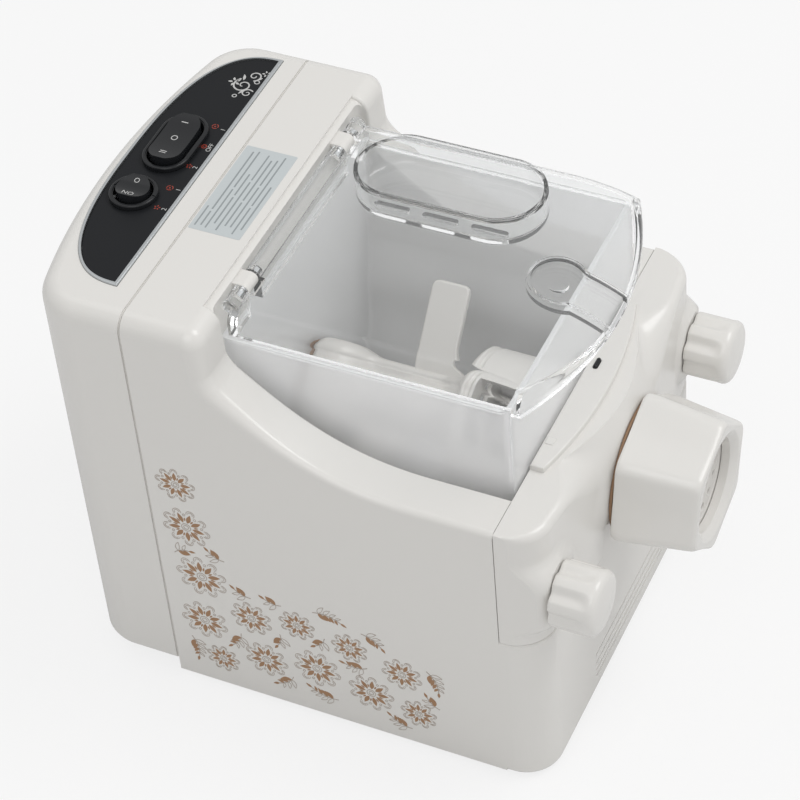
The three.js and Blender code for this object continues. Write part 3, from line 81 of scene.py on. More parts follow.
# Each switch's x, y, length and width.
POWER = (-22.0, 228.9, 16.0, 16.0)
PROGRAM = (16.0, 226.9, 34.0, 16.0)

# Walls, rounds and heights that several pieces share.
WALL, CLEAR_WALL = 3.0, 2.4
CORNER = 18.0
CORNER_X = HALF - CORNER
TOP_ROUND = 8.8
COVER_REAR = 20.9
SLOT_X, SLOT_Y = 13.0, 16.6
LEDGE_HALF = 57.0
HINGE_PIN, ROCKER_PIN, ROCKER_Z = 1.8, 1.5, 231.0
ABOVE = 240.0
LABEL_TOP = TOP_Z + 0.12
INK = 0.000004
MARK_DEPTH, MARK_RISE = 0.05, 0.02

FINISH = {}

# Outlines and solids.


def around(cx, cy, radius, turn):
    """Points at the given angles about (cx, cy), each at its radius."""
    return np.stack([cx + radius * np.cos(turn), cy + radius * np.sin(turn)], -1)


def arc(cx, cy, radius, start, end, steps):
    """Points at even angles on a circle about (cx, cy)."""
    return around(cx, cy, radius, np.linspace(start, end, steps + 1))


def off(centre, reach, turn):
    """The one point at a reach and an angle from the centre."""
    return centre[0] + reach * math.cos(turn), centre[1] + reach * math.sin(turn)


def obround(cx, cy, length, width, grow=0.0, steps=24):
    """Two half circles about points on the first axis, joined by straight sides."""
    radius = width / 2 + grow
    reach = (length - width) / 2
    right = arc(cx + reach, cy, radius, -PI / 2, PI / 2, steps)
    left = arc(cx - reach, cy, radius, PI / 2, 1.5 * PI, steps)
    return np.concatenate([right, left])


def quadratic(a, b, c, share):
    """The quadratic curve from a to c, drawn towards b."""
    return (1 - share) ** 2 * a + 2 * share * (1 - share) * b + share ** 2 * c


def softened(outline, radius, steps=4):
    """Each corner becomes a quadratic curve that starts and ends radius away along its sides."""
    points = np.asarray(outline, float)
    before = np.roll(points, 1, 0) - points
    after = np.roll(points, -1, 0) - points
    long_before = np.linalg.norm(before, axis=1)
    long_after = np.linalg.norm(after, axis=1)
    reach = np.minimum(np.minimum(long_before, long_after) * 0.49, radius)
    first = points + before * (reach / np.maximum(long_before, 1e-9))[:, None]
    last = points + after * (reach / np.maximum(long_after, 1e-9))[:, None]
    share = np.linspace(0, 1, steps + 1)[None, :, None]
    return quadratic(first[:, None], points[:, None], last[:, None], share).reshape(-1, 2)


def box_outline(x0, x1, y0, y1, radius=0):
    """Four corners, anticlockwise, softened where a radius is given."""
    corners = np.array([(x0, y0), (x1, y0), (x1, y1), (x0, y1)], float)
    return softened(corners, radius) if np.any(radius) else corners


def left_of(way):
    """The unit normal to the left of each direction."""
    way = way / np.maximum(np.linalg.norm(way, axis=1), 1e-9)[:, None]
    return np.stack([-way[:, 1], way[:, 0]], -1)


def inset(outline, depth):
    """The outline moved inwards by depth, along the mean of the normals of the sides that meet."""
    points = np.asarray(outline, float)
    normal = left_of(np.roll(points, -1, 0) - points)
    mean = normal + np.roll(normal, 1, 0)
    mean /= np.maximum((mean * normal).sum(1), 0.3)[:, None]
    return points + mean * depth


def eased(rise, share):
    """A rise that starts and ends level, by the cubic 3 s^2 - 2 s^3."""
    return rise * share ** 2 * (3 - 2 * share)


def linked(name, data):
    """A new object for the data, in the scene."""
    shape = bpy.data.objects.new(name, data)
    bpy.context.scene.collection.objects.link(shape)
    return shape


def moved(mesh, change):
    """Puts every point of a mesh where change takes its x, y and z."""
    place = np.empty(len(mesh.vertices) * 3)
    mesh.vertices.foreach_get("co", place)
    place = np.stack(change(*place.reshape(-1, 3).T), -1)
    mesh.vertices.foreach_set("co", place.astype(np.float32).ravel())


def solid(points, faces, merge=True):
    """A closed working shape in millimetres: coinciding points merged, every face turned out."""
    mesh = bpy.data.meshes.new("work")
    mesh.from_pydata(np.asarray(points, float).reshape(-1, 3).tolist(), [], faces)
    shell = bmesh.new()
    shell.from_mesh(mesh)
    if merge:
        bmesh.ops.remove_doubles(shell, verts=shell.verts, dist=1e-4)
        loose = [edge for edge in shell.edges if not edge.link_faces]
        bmesh.ops.delete(shell, geom=loose, context="EDGES")
    bmesh.ops.recalc_face_normals(shell, faces=shell.faces)
    if shell.calc_volume(signed=True) < 0:
        bmesh.ops.reverse_faces(shell, faces=shell.faces)
    shell.to_mesh(mesh)
    shell.free()
    return linked("work", mesh)


def quads_between(low, high):
    """Four-sided faces between closed rings of point numbers."""
    quads = np.stack([low, np.roll(low, -1, 1), np.roll(high, -1, 1), high], -1)
    return quads.reshape(-1, 4).tolist()


def lofted(rings, looped=False):
    """A skin over rings of as many points each, with flat ends, or closed ring on ring."""
    rings = np.asarray(rings, float)
    count, sides = rings.shape[:2]
    index = np.arange(count * sides).reshape(count, sides)
    if looped:
        return solid(rings, quads_between(index, np.roll(index, -1, 0)))
    return solid(rings, quads_between(index[:-1], index[1:]) + index[[0, -1]].tolist())


def set_in(outline, along, axis):
    """A flat outline carried to a place along the named axis."""
    u, v = np.asarray(outline, float).T
    w = np.full_like(u, along)
    return np.stack({"X": (w, u, v), "Y": (u, w, v), "Z": (u, v, w)}[axis], -1)


def slab(outline, low, high, edges=(0, 0), steps=4, axis="Z"):
    """A prism whose two ends are rounded by quarter circles of the given radii."""
    quarter = np.linspace(0, PI / 2, steps + 1)
    e, f = edges
    first = [(e * (1 - math.sin(t)), low + e * (1 - math.cos(t))) for t in quarter]
    last = [(f * (1 - math.cos(t)), high - f * (1 - math.sin(t))) for t in quarter]
    levels = (first if e else [(0, low)]) + (last if f else [(0, high)])
    outline = np.asarray(outline, float)
    x, y = outline.T
    if np.sum(x * np.roll(y, -1) - np.roll(x, -1) * y) <= 0:
        outline = outline[::-1]
    return lofted([set_in(inset(outline, depth) if depth else outline, along, axis)
                   for depth, along in levels])


def block(x0, x1, y0, y1, z0, z1):
    """A plain cutting block."""
    return slab(box_outline(x0, x1, y0, y1), z0, z1)


def turned(profile, x=0, z=SHAFT_Z, sides=96, axis="Y"):
    """A profile of (radius, place along the axis), carried once round the axis."""
    radius, along = np.asarray(profile, float).T
    turn = np.linspace(0, 2 * PI, sides, endpoint=False)
    u = x + radius[:, None] * np.cos(turn)
    v = z + radius[:, None] * np.sin(turn)
    w = along[:, None] + 0 * turn
    order = {"X": (w, u, v), "Y": (u, w, v), "Z": (u, v, w)}[axis]
    return lofted(np.stack(order, -1), looped=True)


def bar(radius, low, high, x=0, z=SHAFT_Z, axis="Y", sides=64, edge=0.0):
    """A round bar along the axis."""
    profile = [(0, low), (radius, low), (radius, high), (0, high)]
    if edge:
        profile = [(0, low), *softened(profile, [0, edge, edge, 0])[5:15], (0, high)]
    return turned(profile, x, z, sides, axis)


def discard(shape):
    """Removes a working shape and its mesh."""
    mesh = shape.data
    bpy.data.objects.remove(shape)
    bpy.data.meshes.remove(mesh)


def combined(first, others, operation):
    """The first shape with the others joined, cut away or kept in common, one after another."""
    for other in others:
        step = first.modifiers.new("step", "BOOLEAN")
        step.operation = operation
        step.solver = "MANIFOLD"
        step.object = other
    graph = bpy.context.evaluated_depsgraph_get()
    mesh = bpy.data.meshes.new_from_object(first.evaluated_get(graph))
    if not len(mesh.polygons):
        raise RuntimeError("nothing is left of a shape after " + operation)
    first.modifiers.clear()
    old, first.data = first.data, mesh
    bpy.data.meshes.remove(old)
    for other in others:
        discard(other)
    return first


def joined(first, *others):
    """The shapes made one."""
    return combined(first, others, "UNION")


def cut(first, *others):
    """The first shape less the others."""
    return combined(first, others, "DIFFERENCE")


def common(first, *others):
    """What the shapes have in common."""
    return combined(first, others, "INTERSECT")


def finished(shape, name, body, finish, *nodes, crease=32.0):
    """Moves a shape into the frame, shades it smooth up to the crease, ties it to its body."""
    mesh = shape.data
    moved(mesh, lambda x, y, z: (x * MM, (y + FRONT_Y) * MM, (z + FOOT_Z) * MM))
    mesh.polygons.foreach_set("use_smooth", np.ones(len(mesh.polygons), bool))
    mesh.set_sharp_from_angle(angle=math.radians(crease))
    mesh.materials.clear()
    mesh.materials.append(FINISH[finish])
    mesh.update()
    shape.name = mesh.name = name
    evened = shape.modifiers.new("Even shading", "WEIGHTED_NORMAL")
    evened.keep_sharp = True
    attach(shape, body)
    if nodes:
        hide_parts(*nodes)
    return shape


# Materials.


class Term:
    """A shader socket in a sum; the usual signs add Math nodes."""

    def __init__(self, maker, socket):
        self.maker = maker
        self.socket = socket

    def sum(self, operation, *values):
        settings = {"operation": operation}
        return self.maker.add("ShaderNodeMath", settings, dict(enumerate(values)))

    def __add__(self, other):
        return self.sum("ADD", self, other)

    def __radd__(self, other):
        return self.sum("ADD", other, self)

    def __sub__(self, other):
        return self.sum("SUBTRACT", self, other)

    def __rsub__(self, other):
        return self.sum("SUBTRACT", other, self)

    def __mul__(self, other):
        return self.sum("MULTIPLY", self, other)

    def __rmul__(self, other):
        return self.sum("MULTIPLY", other, self)

    def clamped(self):
        return self.maker.add("ShaderNodeClamp", {}, {0: self})


class Maker:
    """Adds nodes to one material."""

    def __init__(self, name, store=None):
        if store is None:
            store = bpy.data.materials.new(name)
            store.use_nodes = True
        self.store = store
        self.tree = store.node_tree
        self.tree.nodes.clear()

    def node(self, kind, settings, values):
        """A node of the given type: its settings first, then the values or links of its sockets."""
        node = self.tree.nodes.new(kind)
        for key, value in settings.items():
            setattr(node, key, value)
        for key, value in values.items():
            socket = node.inputs[key]
            if isinstance(value, Term):
                self.tree.links.new(value.socket, socket)
            else:
                socket.default_value = value
        return node

    def add(self, kind, settings, values, out=0):
        return Term(self, self.node(kind, settings, values).outputs[out])

    def noise(self, scale, detail=2.0, rough=0.5, stretch=(1, 1, 1)):
        """Noise over the piece; scale is in repeats per metre."""
        place = self.add("ShaderNodeTexCoord", {}, {}, "Object")
        where = self.add("ShaderNodeMapping", {}, {"Vector": place, "Scale": stretch})
        values = {"Vector": where, "Scale": scale, "Detail": detail, "Roughness": rough}
        return self.add("ShaderNodeTexNoise", {}, values)

    def mixed(self, share, first, second):
        """A colour between two others."""
        settings = {"data_type": "RGBA", "blend_type": "MIX"}
        return self.add("ShaderNodeMix", settings, {0: share, 6: first, 7: second}, 2)

    def bump(self, height, distance, strength):
        values = {"Height": height, "Distance": distance, "Strength": strength}
        return self.add("ShaderNodeBump", {}, values)

    def rays(self, *kinds):
        """One for rays of the named kinds, and zero for others."""
        path = self.node("ShaderNodeLightPath", {}, {})
        first, *rest = (Term(self, path.outputs["Is %s Ray" % kind]) for kind in kinds)
        return sum(rest, first).clamped()

    def principled(self, values):
        return self.add("ShaderNodeBsdfPrincipled", {}, values)

    def background(self, strength):
        values = {"Color": (1, 1, 1, 1), "Strength": strength}
        return self.add("ShaderNodeBackground", {}, values)

    def blended(self, share, first, second):
        """A shader between two others."""
        return self.add("ShaderNodeMixShader", {}, {0: share, 1: first, 2: second})

    def surface(self, shader, kind="ShaderNodeOutputMaterial"):
        self.node(kind, {}, {"Surface": shader})
        return self.store


def rgba(colour, share=1.0):
    """A colour made lighter or darker, with full alpha."""
    return (colour[0] * share, colour[1] * share, colour[2] * share, 1.0)


def moulded(name, colour, rough=0.4, vary=0.012, grain=0.000005, scale=2600.0, coat=0.0,
            specular=0.5):
    """Moulded plastic: slow drift in colour and gloss, and a fine mould grain."""
    maker = Maker(name)
    drift = maker.noise(7.0, 1.0)
    cloud = maker.noise(38.0, 1.0)
    share = (drift * 0.7 + cloud * 0.3).clamped()
    values = {
        "Base Color": maker.mixed(share, rgba(colour, 1 - vary), rgba(colour, 1 + vary)),
        "Roughness": rough - 0.01 + drift * 0.01 + cloud * 0.01,
        "Normal": maker.bump(maker.noise(scale, 2.0, 0.6), grain, 0.4),
        "Specular IOR Level": specular,
    }
    if coat:
        values.update({"Coat Weight": coat, "Coat Roughness": 0.12})
    return maker.surface(maker.principled(values))


def metal(name, colour, rough, brushed, metallic=1.0):
    """Metal or plated plastic with fine drawn lines along one axis."""
    maker = Maker(name)
    lines = maker.noise(900.0, 3.0, 0.6, brushed)
    cloud = maker.noise(40.0, 2.0)
    return maker.surface(maker.principled({
        "Base Color": maker.mixed(cloud, rgba(colour, 0.93), rgba(colour, 1.05)),
        "Roughness": rough - 0.07 + lines * 0.1 + cloud * 0.04,
        "Metallic": metallic,
        "Normal": maker.bump(lines, 0.00001, 0.5),
    }))


def clear(name, tint, rough=0.02, haze=0.03):
    """Clear plastic with a share of haze; shadow and diffuse rays pass it with a faint tint."""
    maker = Maker(name)
    flow = maker.noise(24.0, 2.0)
    fine = maker.noise(180.0, 2.0)
    glass = maker.principled({
        "Base Color": maker.mixed(flow, rgba(tint, 0.985), rgba(tint)),
        "Roughness": rough + fine * 0.02,
        "IOR": 1.36,
        "Transmission Weight": 1.0 - haze,
        "Normal": maker.bump(flow, 0.0002, 0.35),
    })
    shade = maker.add("ShaderNodeBsdfTransparent", {}, {"Color": rgba(tint)})
    return maker.surface(maker.blended(maker.rays("Shadow", "Diffuse"), glass, shade))


def make_finishes(look):
    """Every finish of the machine, made once."""
    FINISH.update({
        "shell": moulded("Housing plastic", look.shell, 0.25, 0.004, coat=0.12),
        # inner: the housing plastic painted 7% darker as shade, for the base plate under the
        # machine
        "inner": moulded("Housing plastic with painted shade", [0.93 * c for c in look.shell]),
        "food": moulded("Food plastic", look.food, 0.36),
        "clear": clear("Clear plastic", look.clear),
        "milky": clear("Milky clear plastic", look.milky, 0.14, look.haze),
        "black": moulded("Black plastic", look.black, 0.24, 0.06, specular=0.3),
        "panel": moulded("Panel lacquer", look.black, 0.32, 0.05, INK, specular=0.12),
        "silver": metal("Silver trim", look.silver, 0.34, (1, 30, 30), 0.85),
        "steel": metal("Steel", (0.55, 0.56, 0.57), 0.32, (1, 14, 1)),
        "motor": metal("Zinc plate", (0.34, 0.35, 0.36), 0.4, (12, 1, 12), 0.9),
        "rubber": moulded("Foot rubber", (0.045, 0.045, 0.048), 0.62, 0.1, 0.00004, 1400.0),
        "seal": moulded("Seal silicone", look.seal, 0.45, 0.06),
        "gear": moulded("Gear nylon", (0.66, 0.61, 0.49), 0.42),
        "board": moulded("Board laminate", (0.035, 0.12, 0.045), vary=0.12),
        "label": moulded("Label film", look.label, 0.35, grain=INK),
        "print": moulded("Brown print", look.print, vary=0.08, grain=INK),
        "line": moulded("Print outline", look.line, vary=0.05, grain=INK),
        "red": moulded("Red mark", (0.3, 0.035, 0.018), vary=0.06, grain=INK),
        "rows": moulded("Label rows", (0.3, 0.33, 0.34), vary=0.04, grain=INK),
        "white": moulded("Pale mark", (0.55, 0.55, 0.54), vary=0.04, grain=INK),
    })


# Housing.


def top_line():
    """The housing's top from the side, as (y, z).

    It is a level rail, a cubic sweep, a quadratic foot and a quarter round brow.
    """
    share = np.linspace(0, 1, 29)[:, None]
    rail = ((59.9, RAIL_Z), (104.8, RAIL_Z), (129.9, 184.1), (151.6, 202.0))
    a, b, c, d = (np.array(point) for point in rail)
    sweep = ((1 - share) ** 3 * a + 3 * share * (1 - share) ** 2 * b
             + 3 * share ** 2 * (1 - share) * c + share ** 3 * d)
    share = np.linspace(0, 1, 8)[1:, None]
    foot = quadratic(d, np.array((155.8, 206.2)), np.array((156.4, 210.4)), share)
    brow = arc(166.0, 226.0, 9.0, PI, PI / 2, 12)
    return np.concatenate([[(WELL_FRONT, RAIL_Z)], sweep, foot, brow, [(SEAM_Y, TOP_Z)]])


def upright(line):
    """The outward normal of each point of the top line."""
    along = np.gradient(line, axis=0)
    along[[0, -1]] = (1, 0)
    return left_of(along)


def edge_radius(z):
    """The long edges' radius, which grows smoothly from the rails to the tower."""
    return 3.5 + eased(5.3, np.clip((z - RAIL_Z) / (226.0 - RAIL_Z), 0, 1))


def rails_and_tower(depth):
    """A strip over the top line, quarter rounds along both sides, closed by flat walls."""
    line = top_line()
    radius = np.maximum(edge_radius(line[:, 1]) - depth, 0.3)
    turn = np.linspace(0, PI / 2, 9)
    x = HALF - depth - radius[:, None] * (1 - np.cos(turn))
    drop = depth + radius[:, None] * (1 - np.sin(turn))
    side = line[:, None] - upright(line)[:, None] * drop[:, :, None]
    half = np.concatenate([x[:, :, None], side], -1)
    if depth:
        half[0, :, 1] = WELL_FRONT + depth
        half[-1, :, 1] = SEAM_Y + 1
    strip = np.concatenate([half, half[:, ::-1] * (-1, 1, 1)], 1)
    count, across = strip.shape[:2]
    index = np.arange(count * across).reshape(count, across)
    low, wide = -5.0 if depth else 0.0, HALF - depth
    front, rear = strip[0, 0, 1], strip[-1, 0, 1]
    corners = [(wide, front, low), (wide, rear, low), (-wide, rear, low), (-wide, front, low)]
    a, b = index[:-1, :-1], index[1:, :-1]
    faces = np.stack([a, b, b + 1, a + 1], -1).reshape(-1, 4).tolist()
    c, d, e, f = range(count * across, count * across + 4)
    for edge, ends in ((index[:, 0], (d, c)), (index[:, -1], (e, f)), (index[0], (f, c)),
                       (index[-1], (e, d))):
        faces.append([*edge.tolist(), *ends])
    faces.append([c, d, e, f])
    return solid(np.concatenate([strip.reshape(-1, 3), corners]), faces)


def base_plan(depth):
    """The base from above: two round front corners and a straight back."""
    wide, radius = HALF - depth, CORNER - depth
    left = arc(-CORNER_X, CORNER, radius, PI, 1.5 * PI, 16)
    right = arc(CORNER_X, CORNER, radius, 1.5 * PI, 2 * PI, 16)
    return np.concatenate([left, right, [(wide, 40.0), (-wide, 40.0)]])


def base_front(depth):
    """The base's plan carried up to the ledge, with its edges rounded."""
    if depth:
        return slab(base_plan(depth), -5.0, LEDGE_Z - depth)
    quarter = np.linspace(0, PI / 2, 6)
    low = [(2.0 * (1 - math.sin(t)), 2.0 * (1 - math.cos(t))) for t in quarter]
    high = [(1.8 * (1 - math.cos(t)), LEDGE_Z - 1.8 * (1 - math.sin(t))) for t in quarter]
    rings = []
    for edge, z in low + high:
        ring = set_in(base_plan(edge), z, "Z")
        ring[-2:, 0] = (HALF - 0.05, -HALF + 0.05)
        rings.append(ring)
    return lofted(rings)


def well_flare():
    """A shallow round along the well's upper edges: a channel carried along the top line."""
    line = top_line()
    turn = np.linspace(0, PI / 2, 5)
    reach = 1.6
    x = np.concatenate([WELL_HALF - 0.2 + reach * (1 - np.cos(turn)), [WELL_HALF + reach]])
    rise = np.concatenate([-reach * (1 - np.sin(turn)), [0.8]])
    x = np.concatenate([x, -x[::-1]])
    rise = np.concatenate([rise, rise[::-1]])
    across = line[:, None] + upright(line)[:, None] * rise[None, :, None]
    wide = np.broadcast_to(x[None, :, None], (*across.shape[:2], 1))
    rings = np.concatenate([wide, across], -1)
    rings[0, :, 1] -= 2
    rings[-1, :, 1] += 2
    return lofted(rings[:-2])


def seam_band():
    """A shallow groove all round the seam between housing and rear cover."""
    front, rear, low = 195.85, 197.0, -4.0
    corner = arc(HALF - TOP_ROUND, TOP_Z - TOP_ROUND, TOP_ROUND, 0, PI / 2, 10)
    right = np.concatenate([[(HALF, low)], corner])
    section = np.concatenate([right, right[::-1] * (-1, 1)])
    inner, outer = inset(section, 0.9), inset(section, -1.5)
    inner[[0, -1], 1] = outer[[0, -1], 1] = low
    rings = [set_in(line, y, "Y") for line, y in
             ((outer, front), (outer, rear), (inner, rear), (inner, front))]
    ring = np.arange(4 * len(section)).reshape(4, -1)
    after = np.roll(ring, -1, 0)
    quads = np.stack([ring[:, :-1], ring[:, 1:], after[:, 1:], after[:, :-1]], -1)
    ends = ring.T[[0, -1]].tolist()
    return solid(np.concatenate(rings), quads.reshape(-1, 4).tolist() + ends)


def build_housing():
    """Base, rails and tower in one moulded shell, hollow behind its walls."""
    tongue = slab(box_outline(-35.7, 35.7, 60.0, 115.0, 1.0), 0, 30, (0.8, 0), axis="Y")
    outer = joined(rails_and_tower(0.0), base_front(0.0), tongue)
    well_shell = block(-80, 80, 18.2, 164.9, 52.7, ABOVE)
    hollow = cut(joined(rails_and_tower(WALL), base_front(WALL)), well_shell)
    bosses = [bar(5.0, -10, 53.0, x, y, "Z", 24) for x in (-58, 58) for y in (42, 140)]
    hollow = cut(hollow, *bosses)
    well = box_outline(-WELL_HALF, WELL_HALF, WELL_FRONT, WELL_REAR, [0, 0, 4, 4])
    well = slab(well, WELL_FLOOR, ABOVE, (3.0, 0))
    mouth = block(-WELL_HALF, WELL_HALF, -1, 22.2, 115.0, ABOVE)
    cradle = bar(31.0, -1, 22.2)
    shaft = bar(11.3, 160, 166)
    studs = [bar(4.3, 20, 25, x) for x in (-STUD_X, STUD_X)]
    grooves = [block(-38, 79, -1, 0.9, z, z + 1.0) for z in (8.7, 13.0, 18.0, 24.0)]
    shell = cut(outer, hollow, well, mouth, cradle, well_flare(), shaft, *studs, *grooves,
                seam_band())
    rounded = arc(HINGE_Y, HINGE_Z, 3.6, PI / 2, 1.5 * PI, 14)
    ear = np.concatenate([rounded, [(162.9, 223.7), (162.9, 230.9)]])
    sides = (-EAR_X, EAR_X)
    shell = joined(shell, *[slab(ear, x - 5, x + 5, (0.5, 0.5), 2, "X") for x in sides])
    shell = cut(shell, *[bar(HINGE_PIN, x - 6, x + 6, HINGE_Y, HINGE_Z, "X", 24) for x in sides])
    finished(shell, "housing_body", "base", "shell", "main_housing")


# Front cover.


def cover_face(x):
    """A shallow parabola across the front that turns into the corner rounds."""
    side = np.abs(x)
    run = np.clip(side - CORNER_X, 0, CORNER)
    corner = CORNER - np.sqrt(np.maximum(CORNER ** 2 - run ** 2, 0))
    return np.where(side <= CORNER_X, -5.0 * (1 - (side / CORNER_X) ** 2), corner)


def smooth_low(a, b, blend):
    """The lower of two values, with a parabola where they are within blend of each other."""
    share = np.clip(0.5 + 0.5 * (b - a) / blend, 0, 1)
    return b * (1 - share) + a * share - blend * share * (1 - share)


def cover_front(x, y, z):
    """The face drawn forward to the two knob pads and the collar by smooth minimums of cones."""
    for side in (-STUD_X, STUD_X):
        reach = np.hypot(x - side, z - SHAFT_Z)
        cone = -3.0 + np.maximum(reach - 17.2, 0) ** 1.25 * 0.75
        corner = np.clip(np.abs(x) - 92.7, 0, 7.0)
        cone = cone + 7.0 - np.sqrt(49.0 - corner ** 2 * 0.9)
        y = smooth_low(y, cone, 3.0)
    reach = np.hypot(x, z - SHAFT_Z)
    return smooth_low(y, -6.2 + np.maximum(reach - 34.0, 0) * 0.55, 3.5)


def cover_body(depth):
    """Upright sections across the width.

    The round from the top into the face widens by a cubic towards the middle.
    """
    wide = 99.7
    turn = np.linspace(0, PI / 2, 17)[1:]
    side = CORNER_X + 17.7 * np.sin(turn)
    x = np.concatenate([-side[::-1], np.linspace(-CORNER_X, CORNER_X, 83), side])
    if depth:
        x = x * (wide - depth) / wide
    face = cover_face(x) + depth
    rear = 23.0 if depth else COVER_REAR
    low, high = 92.8 + depth, RAIL_Z - depth
    reach = 4.5 + eased(20.5, np.clip((72.0 - np.abs(x)) / 44.0, 0, 1)) - depth
    radius = np.maximum(np.minimum(rear - face - 2.0, reach), 0.6)[:, None]
    angle = np.linspace(PI, PI / 2, 19)
    round_y = face[:, None] + radius + radius * np.cos(angle)
    round_z = high - radius + radius * np.sin(angle)
    edge = 1.6 * (1 - depth / 6)
    foot = np.linspace(0, PI / 2, 5)[:-1]
    foot_y = face[:, None] + edge * (1 - np.sin(foot))
    foot_z = np.broadcast_to(low + edge * (1 - np.cos(foot)), foot_y.shape)
    flat_z = (low + edge) + (high - radius - low - edge) * np.linspace(0, 1, 26)[:-1]
    flat_y = np.broadcast_to(face[:, None], flat_z.shape)
    y = np.concatenate([foot_y, flat_y, round_y], 1)
    z = np.concatenate([foot_z, flat_z, round_z], 1)
    across = np.broadcast_to(x[:, None], y.shape)
    y = np.minimum(cover_front(across, y - depth, z) + depth, rear - 0.4)
    ends = np.full((len(x), 1), rear)
    ring_y = np.concatenate([ends, y, ends], 1)
    ring_z = np.concatenate([np.full_like(ends, low), z, np.full_like(ends, high)], 1)
    return lofted(np.stack([np.broadcast_to(x[:, None], ring_y.shape), ring_y, ring_z], -1))


def ledge_outline():
    """The ledge's front is an arc of a circle; its back is straight."""
    radius = (LEDGE_HALF ** 2 + 15.0 ** 2) / 30.0
    span = math.asin(LEDGE_HALF / radius) * 0.55
    scale = LEDGE_HALF / (radius * math.sin(span))
    reach = radius * scale
    front = arc(0, 6.2 + reach, reach, -PI / 2 - span, -PI / 2 + span, 40)
    return np.concatenate([front, [(LEDGE_HALF, COVER_REAR), (-LEDGE_HALF, COVER_REAR)]])


def build_front_cover():
    """The removable front: face, knob pads, collar round the barrel, ledge under the lid's lip."""
    studs = (-STUD_X, STUD_X)
    outer = joined(cover_body(0.0), slab(ledge_outline(), 161.0, 167.0, (0, 0.8)))
    inner = cut(cover_body(WALL), bar(34.0, -20, 30), *[bar(7.0, -20, 30, x) for x in studs],
                block(6, 20, 10, 30, 150, 170))
    notch = slab(box_outline(-36.0, 36.0, 80.0, 115.3, 1.0), -30, 40, axis="Y")
    slot = slab(obround(SLOT_X, SLOT_Y, 7.0, 2.6), 150, 170)
    cover = cut(outer, inner, notch, bar(30.6, -30, 30), slot,
                *[bar(4.6, -30, 30, x) for x in studs])
    finished(cover, "front_cover_body", "base", "shell", "front_cover")
    catch = slab(box_outline(-42.6, -38.0, 15.6, 19.8, 0.6), 166.4, 167.5, (0, 0.4))
    finished(catch, "cover_catch", "base", "shell")
    stem = slab(obround(SLOT_X, SLOT_Y, 6.4, 2.0), 158.2, 168.2, (0, 0.5))
    head = slab(obround(SLOT_X, SLOT_Y, 8.4, 4.0), 158.2, 159.4)
    plunger = joined(stem, head)
    finished(plunger, "safety_plunger", "interlock", "black", "interlock_plunger")


# Rear cover and panel.


def rear_plan(depth, front):
    """Rear cover from above: straight sides, round corners and a wide arc that meets them."""
    corner, corner_x, straight = 24.0, 76.0, 24.5
    corner_y = SEAM_Y + straight
    drop = REAR_Y - SEAM_Y - straight
    back = (corner_x ** 2 + drop ** 2 - corner ** 2) / (2 * (drop - corner))
    meet = math.atan2(corner_y - (REAR_Y - back), corner_x)
    return np.concatenate([
        [(HALF - depth, front)],
        arc(corner_x, corner_y, corner - depth, 0, meet, 14),
        arc(0, REAR_Y - back, back - depth, meet, PI - meet, 40)[1:-1],
        arc(-corner_x, corner_y, corner - depth, PI - meet, PI, 14),
        [(-HALF + depth, front)],
    ])


def rear_body(depth):
    """Plans stacked up to a round at the top edge."""
    front = SEAM_Y - 1 if depth else SEAM_Y + 0.15
    radius = TOP_ROUND - depth
    levels = [(depth + 2.0, 7.0 + depth), (depth + 0.6, 7.6 + depth), (depth, 9.0 + depth)]
    levels += [(depth + radius * (1 - math.cos(t)), TOP_Z - depth - radius * (1 - math.sin(t)))
               for t in np.linspace(0, PI / 2, 11)]
    return lofted([set_in(rear_plan(edge, front), z, "Z") for edge, z in levels])


def panel_outline(grow):
    """A straight front edge, and half a superellipse behind it."""
    power = 2.6
    turn = np.linspace(0, PI, 97)
    c, s = np.cos(turn), np.abs(np.sin(turn))
    x = 5.0 + (83.0 + grow) * np.sign(c) * np.abs(c) ** (2 / power)
    y = SEAM_Y + 12.2 - grow + (36.0 + 2 * grow) * s ** (2 / power)
    return np.stack([x, y], -1)


def bezel_holes(low, high):
    """Cutters for both bezels."""
    return [slab(obround(*kind, grow=2.9), low, high) for kind in (POWER, PROGRAM)]


def build_rear_cover():
    """The rounded shell behind the seam."""
    posts = [bar(3.0, 207.3, 234.0, x, SEAM_Y + y, "Z", 24) for x in (-52, 52) for y in (12, 34)]
    hollow = cut(rear_body(WALL), *posts)
    vent = block(-62, 62, 220.9, 256, 23, 57)
    inlet = block(-15.3, 15.3, 233.9, 256, 96.2, 119.8)
    recess = slab(panel_outline(1.95), 233.4, 238)
    cover = cut(rear_body(0.0), hollow, vent, inlet, recess, seam_band(), *bezel_holes(229, 238))
    finished(cover, "rear_cover_body", "base", "shell", "rear_cover")


def build_panel():
    """Black panel plate and its silver trim."""
    floor = 233.55
    plate = cut(slab(panel_outline(-0.15), floor, PANEL_TOP, (0, 0.5)), *bezel_holes(230, ABOVE))
    finished(plate, "panel_plate", "base", "panel", "control_panel")
    ring = slab(panel_outline(1.8), floor, 235.9, (0, 0.7))
    ring = cut(ring, slab(panel_outline(0.15), 230, ABOVE))
    finished(ring, "panel_rim", "base", "silver", "panel_trim")


def cap_top(kind, x):
    """A rocker's top: its two ends are high and a power of the way sinks its middle."""
    share = np.clip(np.abs(x - kind[0]) / (kind[2] / 2 - CAP_EDGE), 0, 1)
    return CAP_TOP - 1.6 * (1 - share ** 2.2)


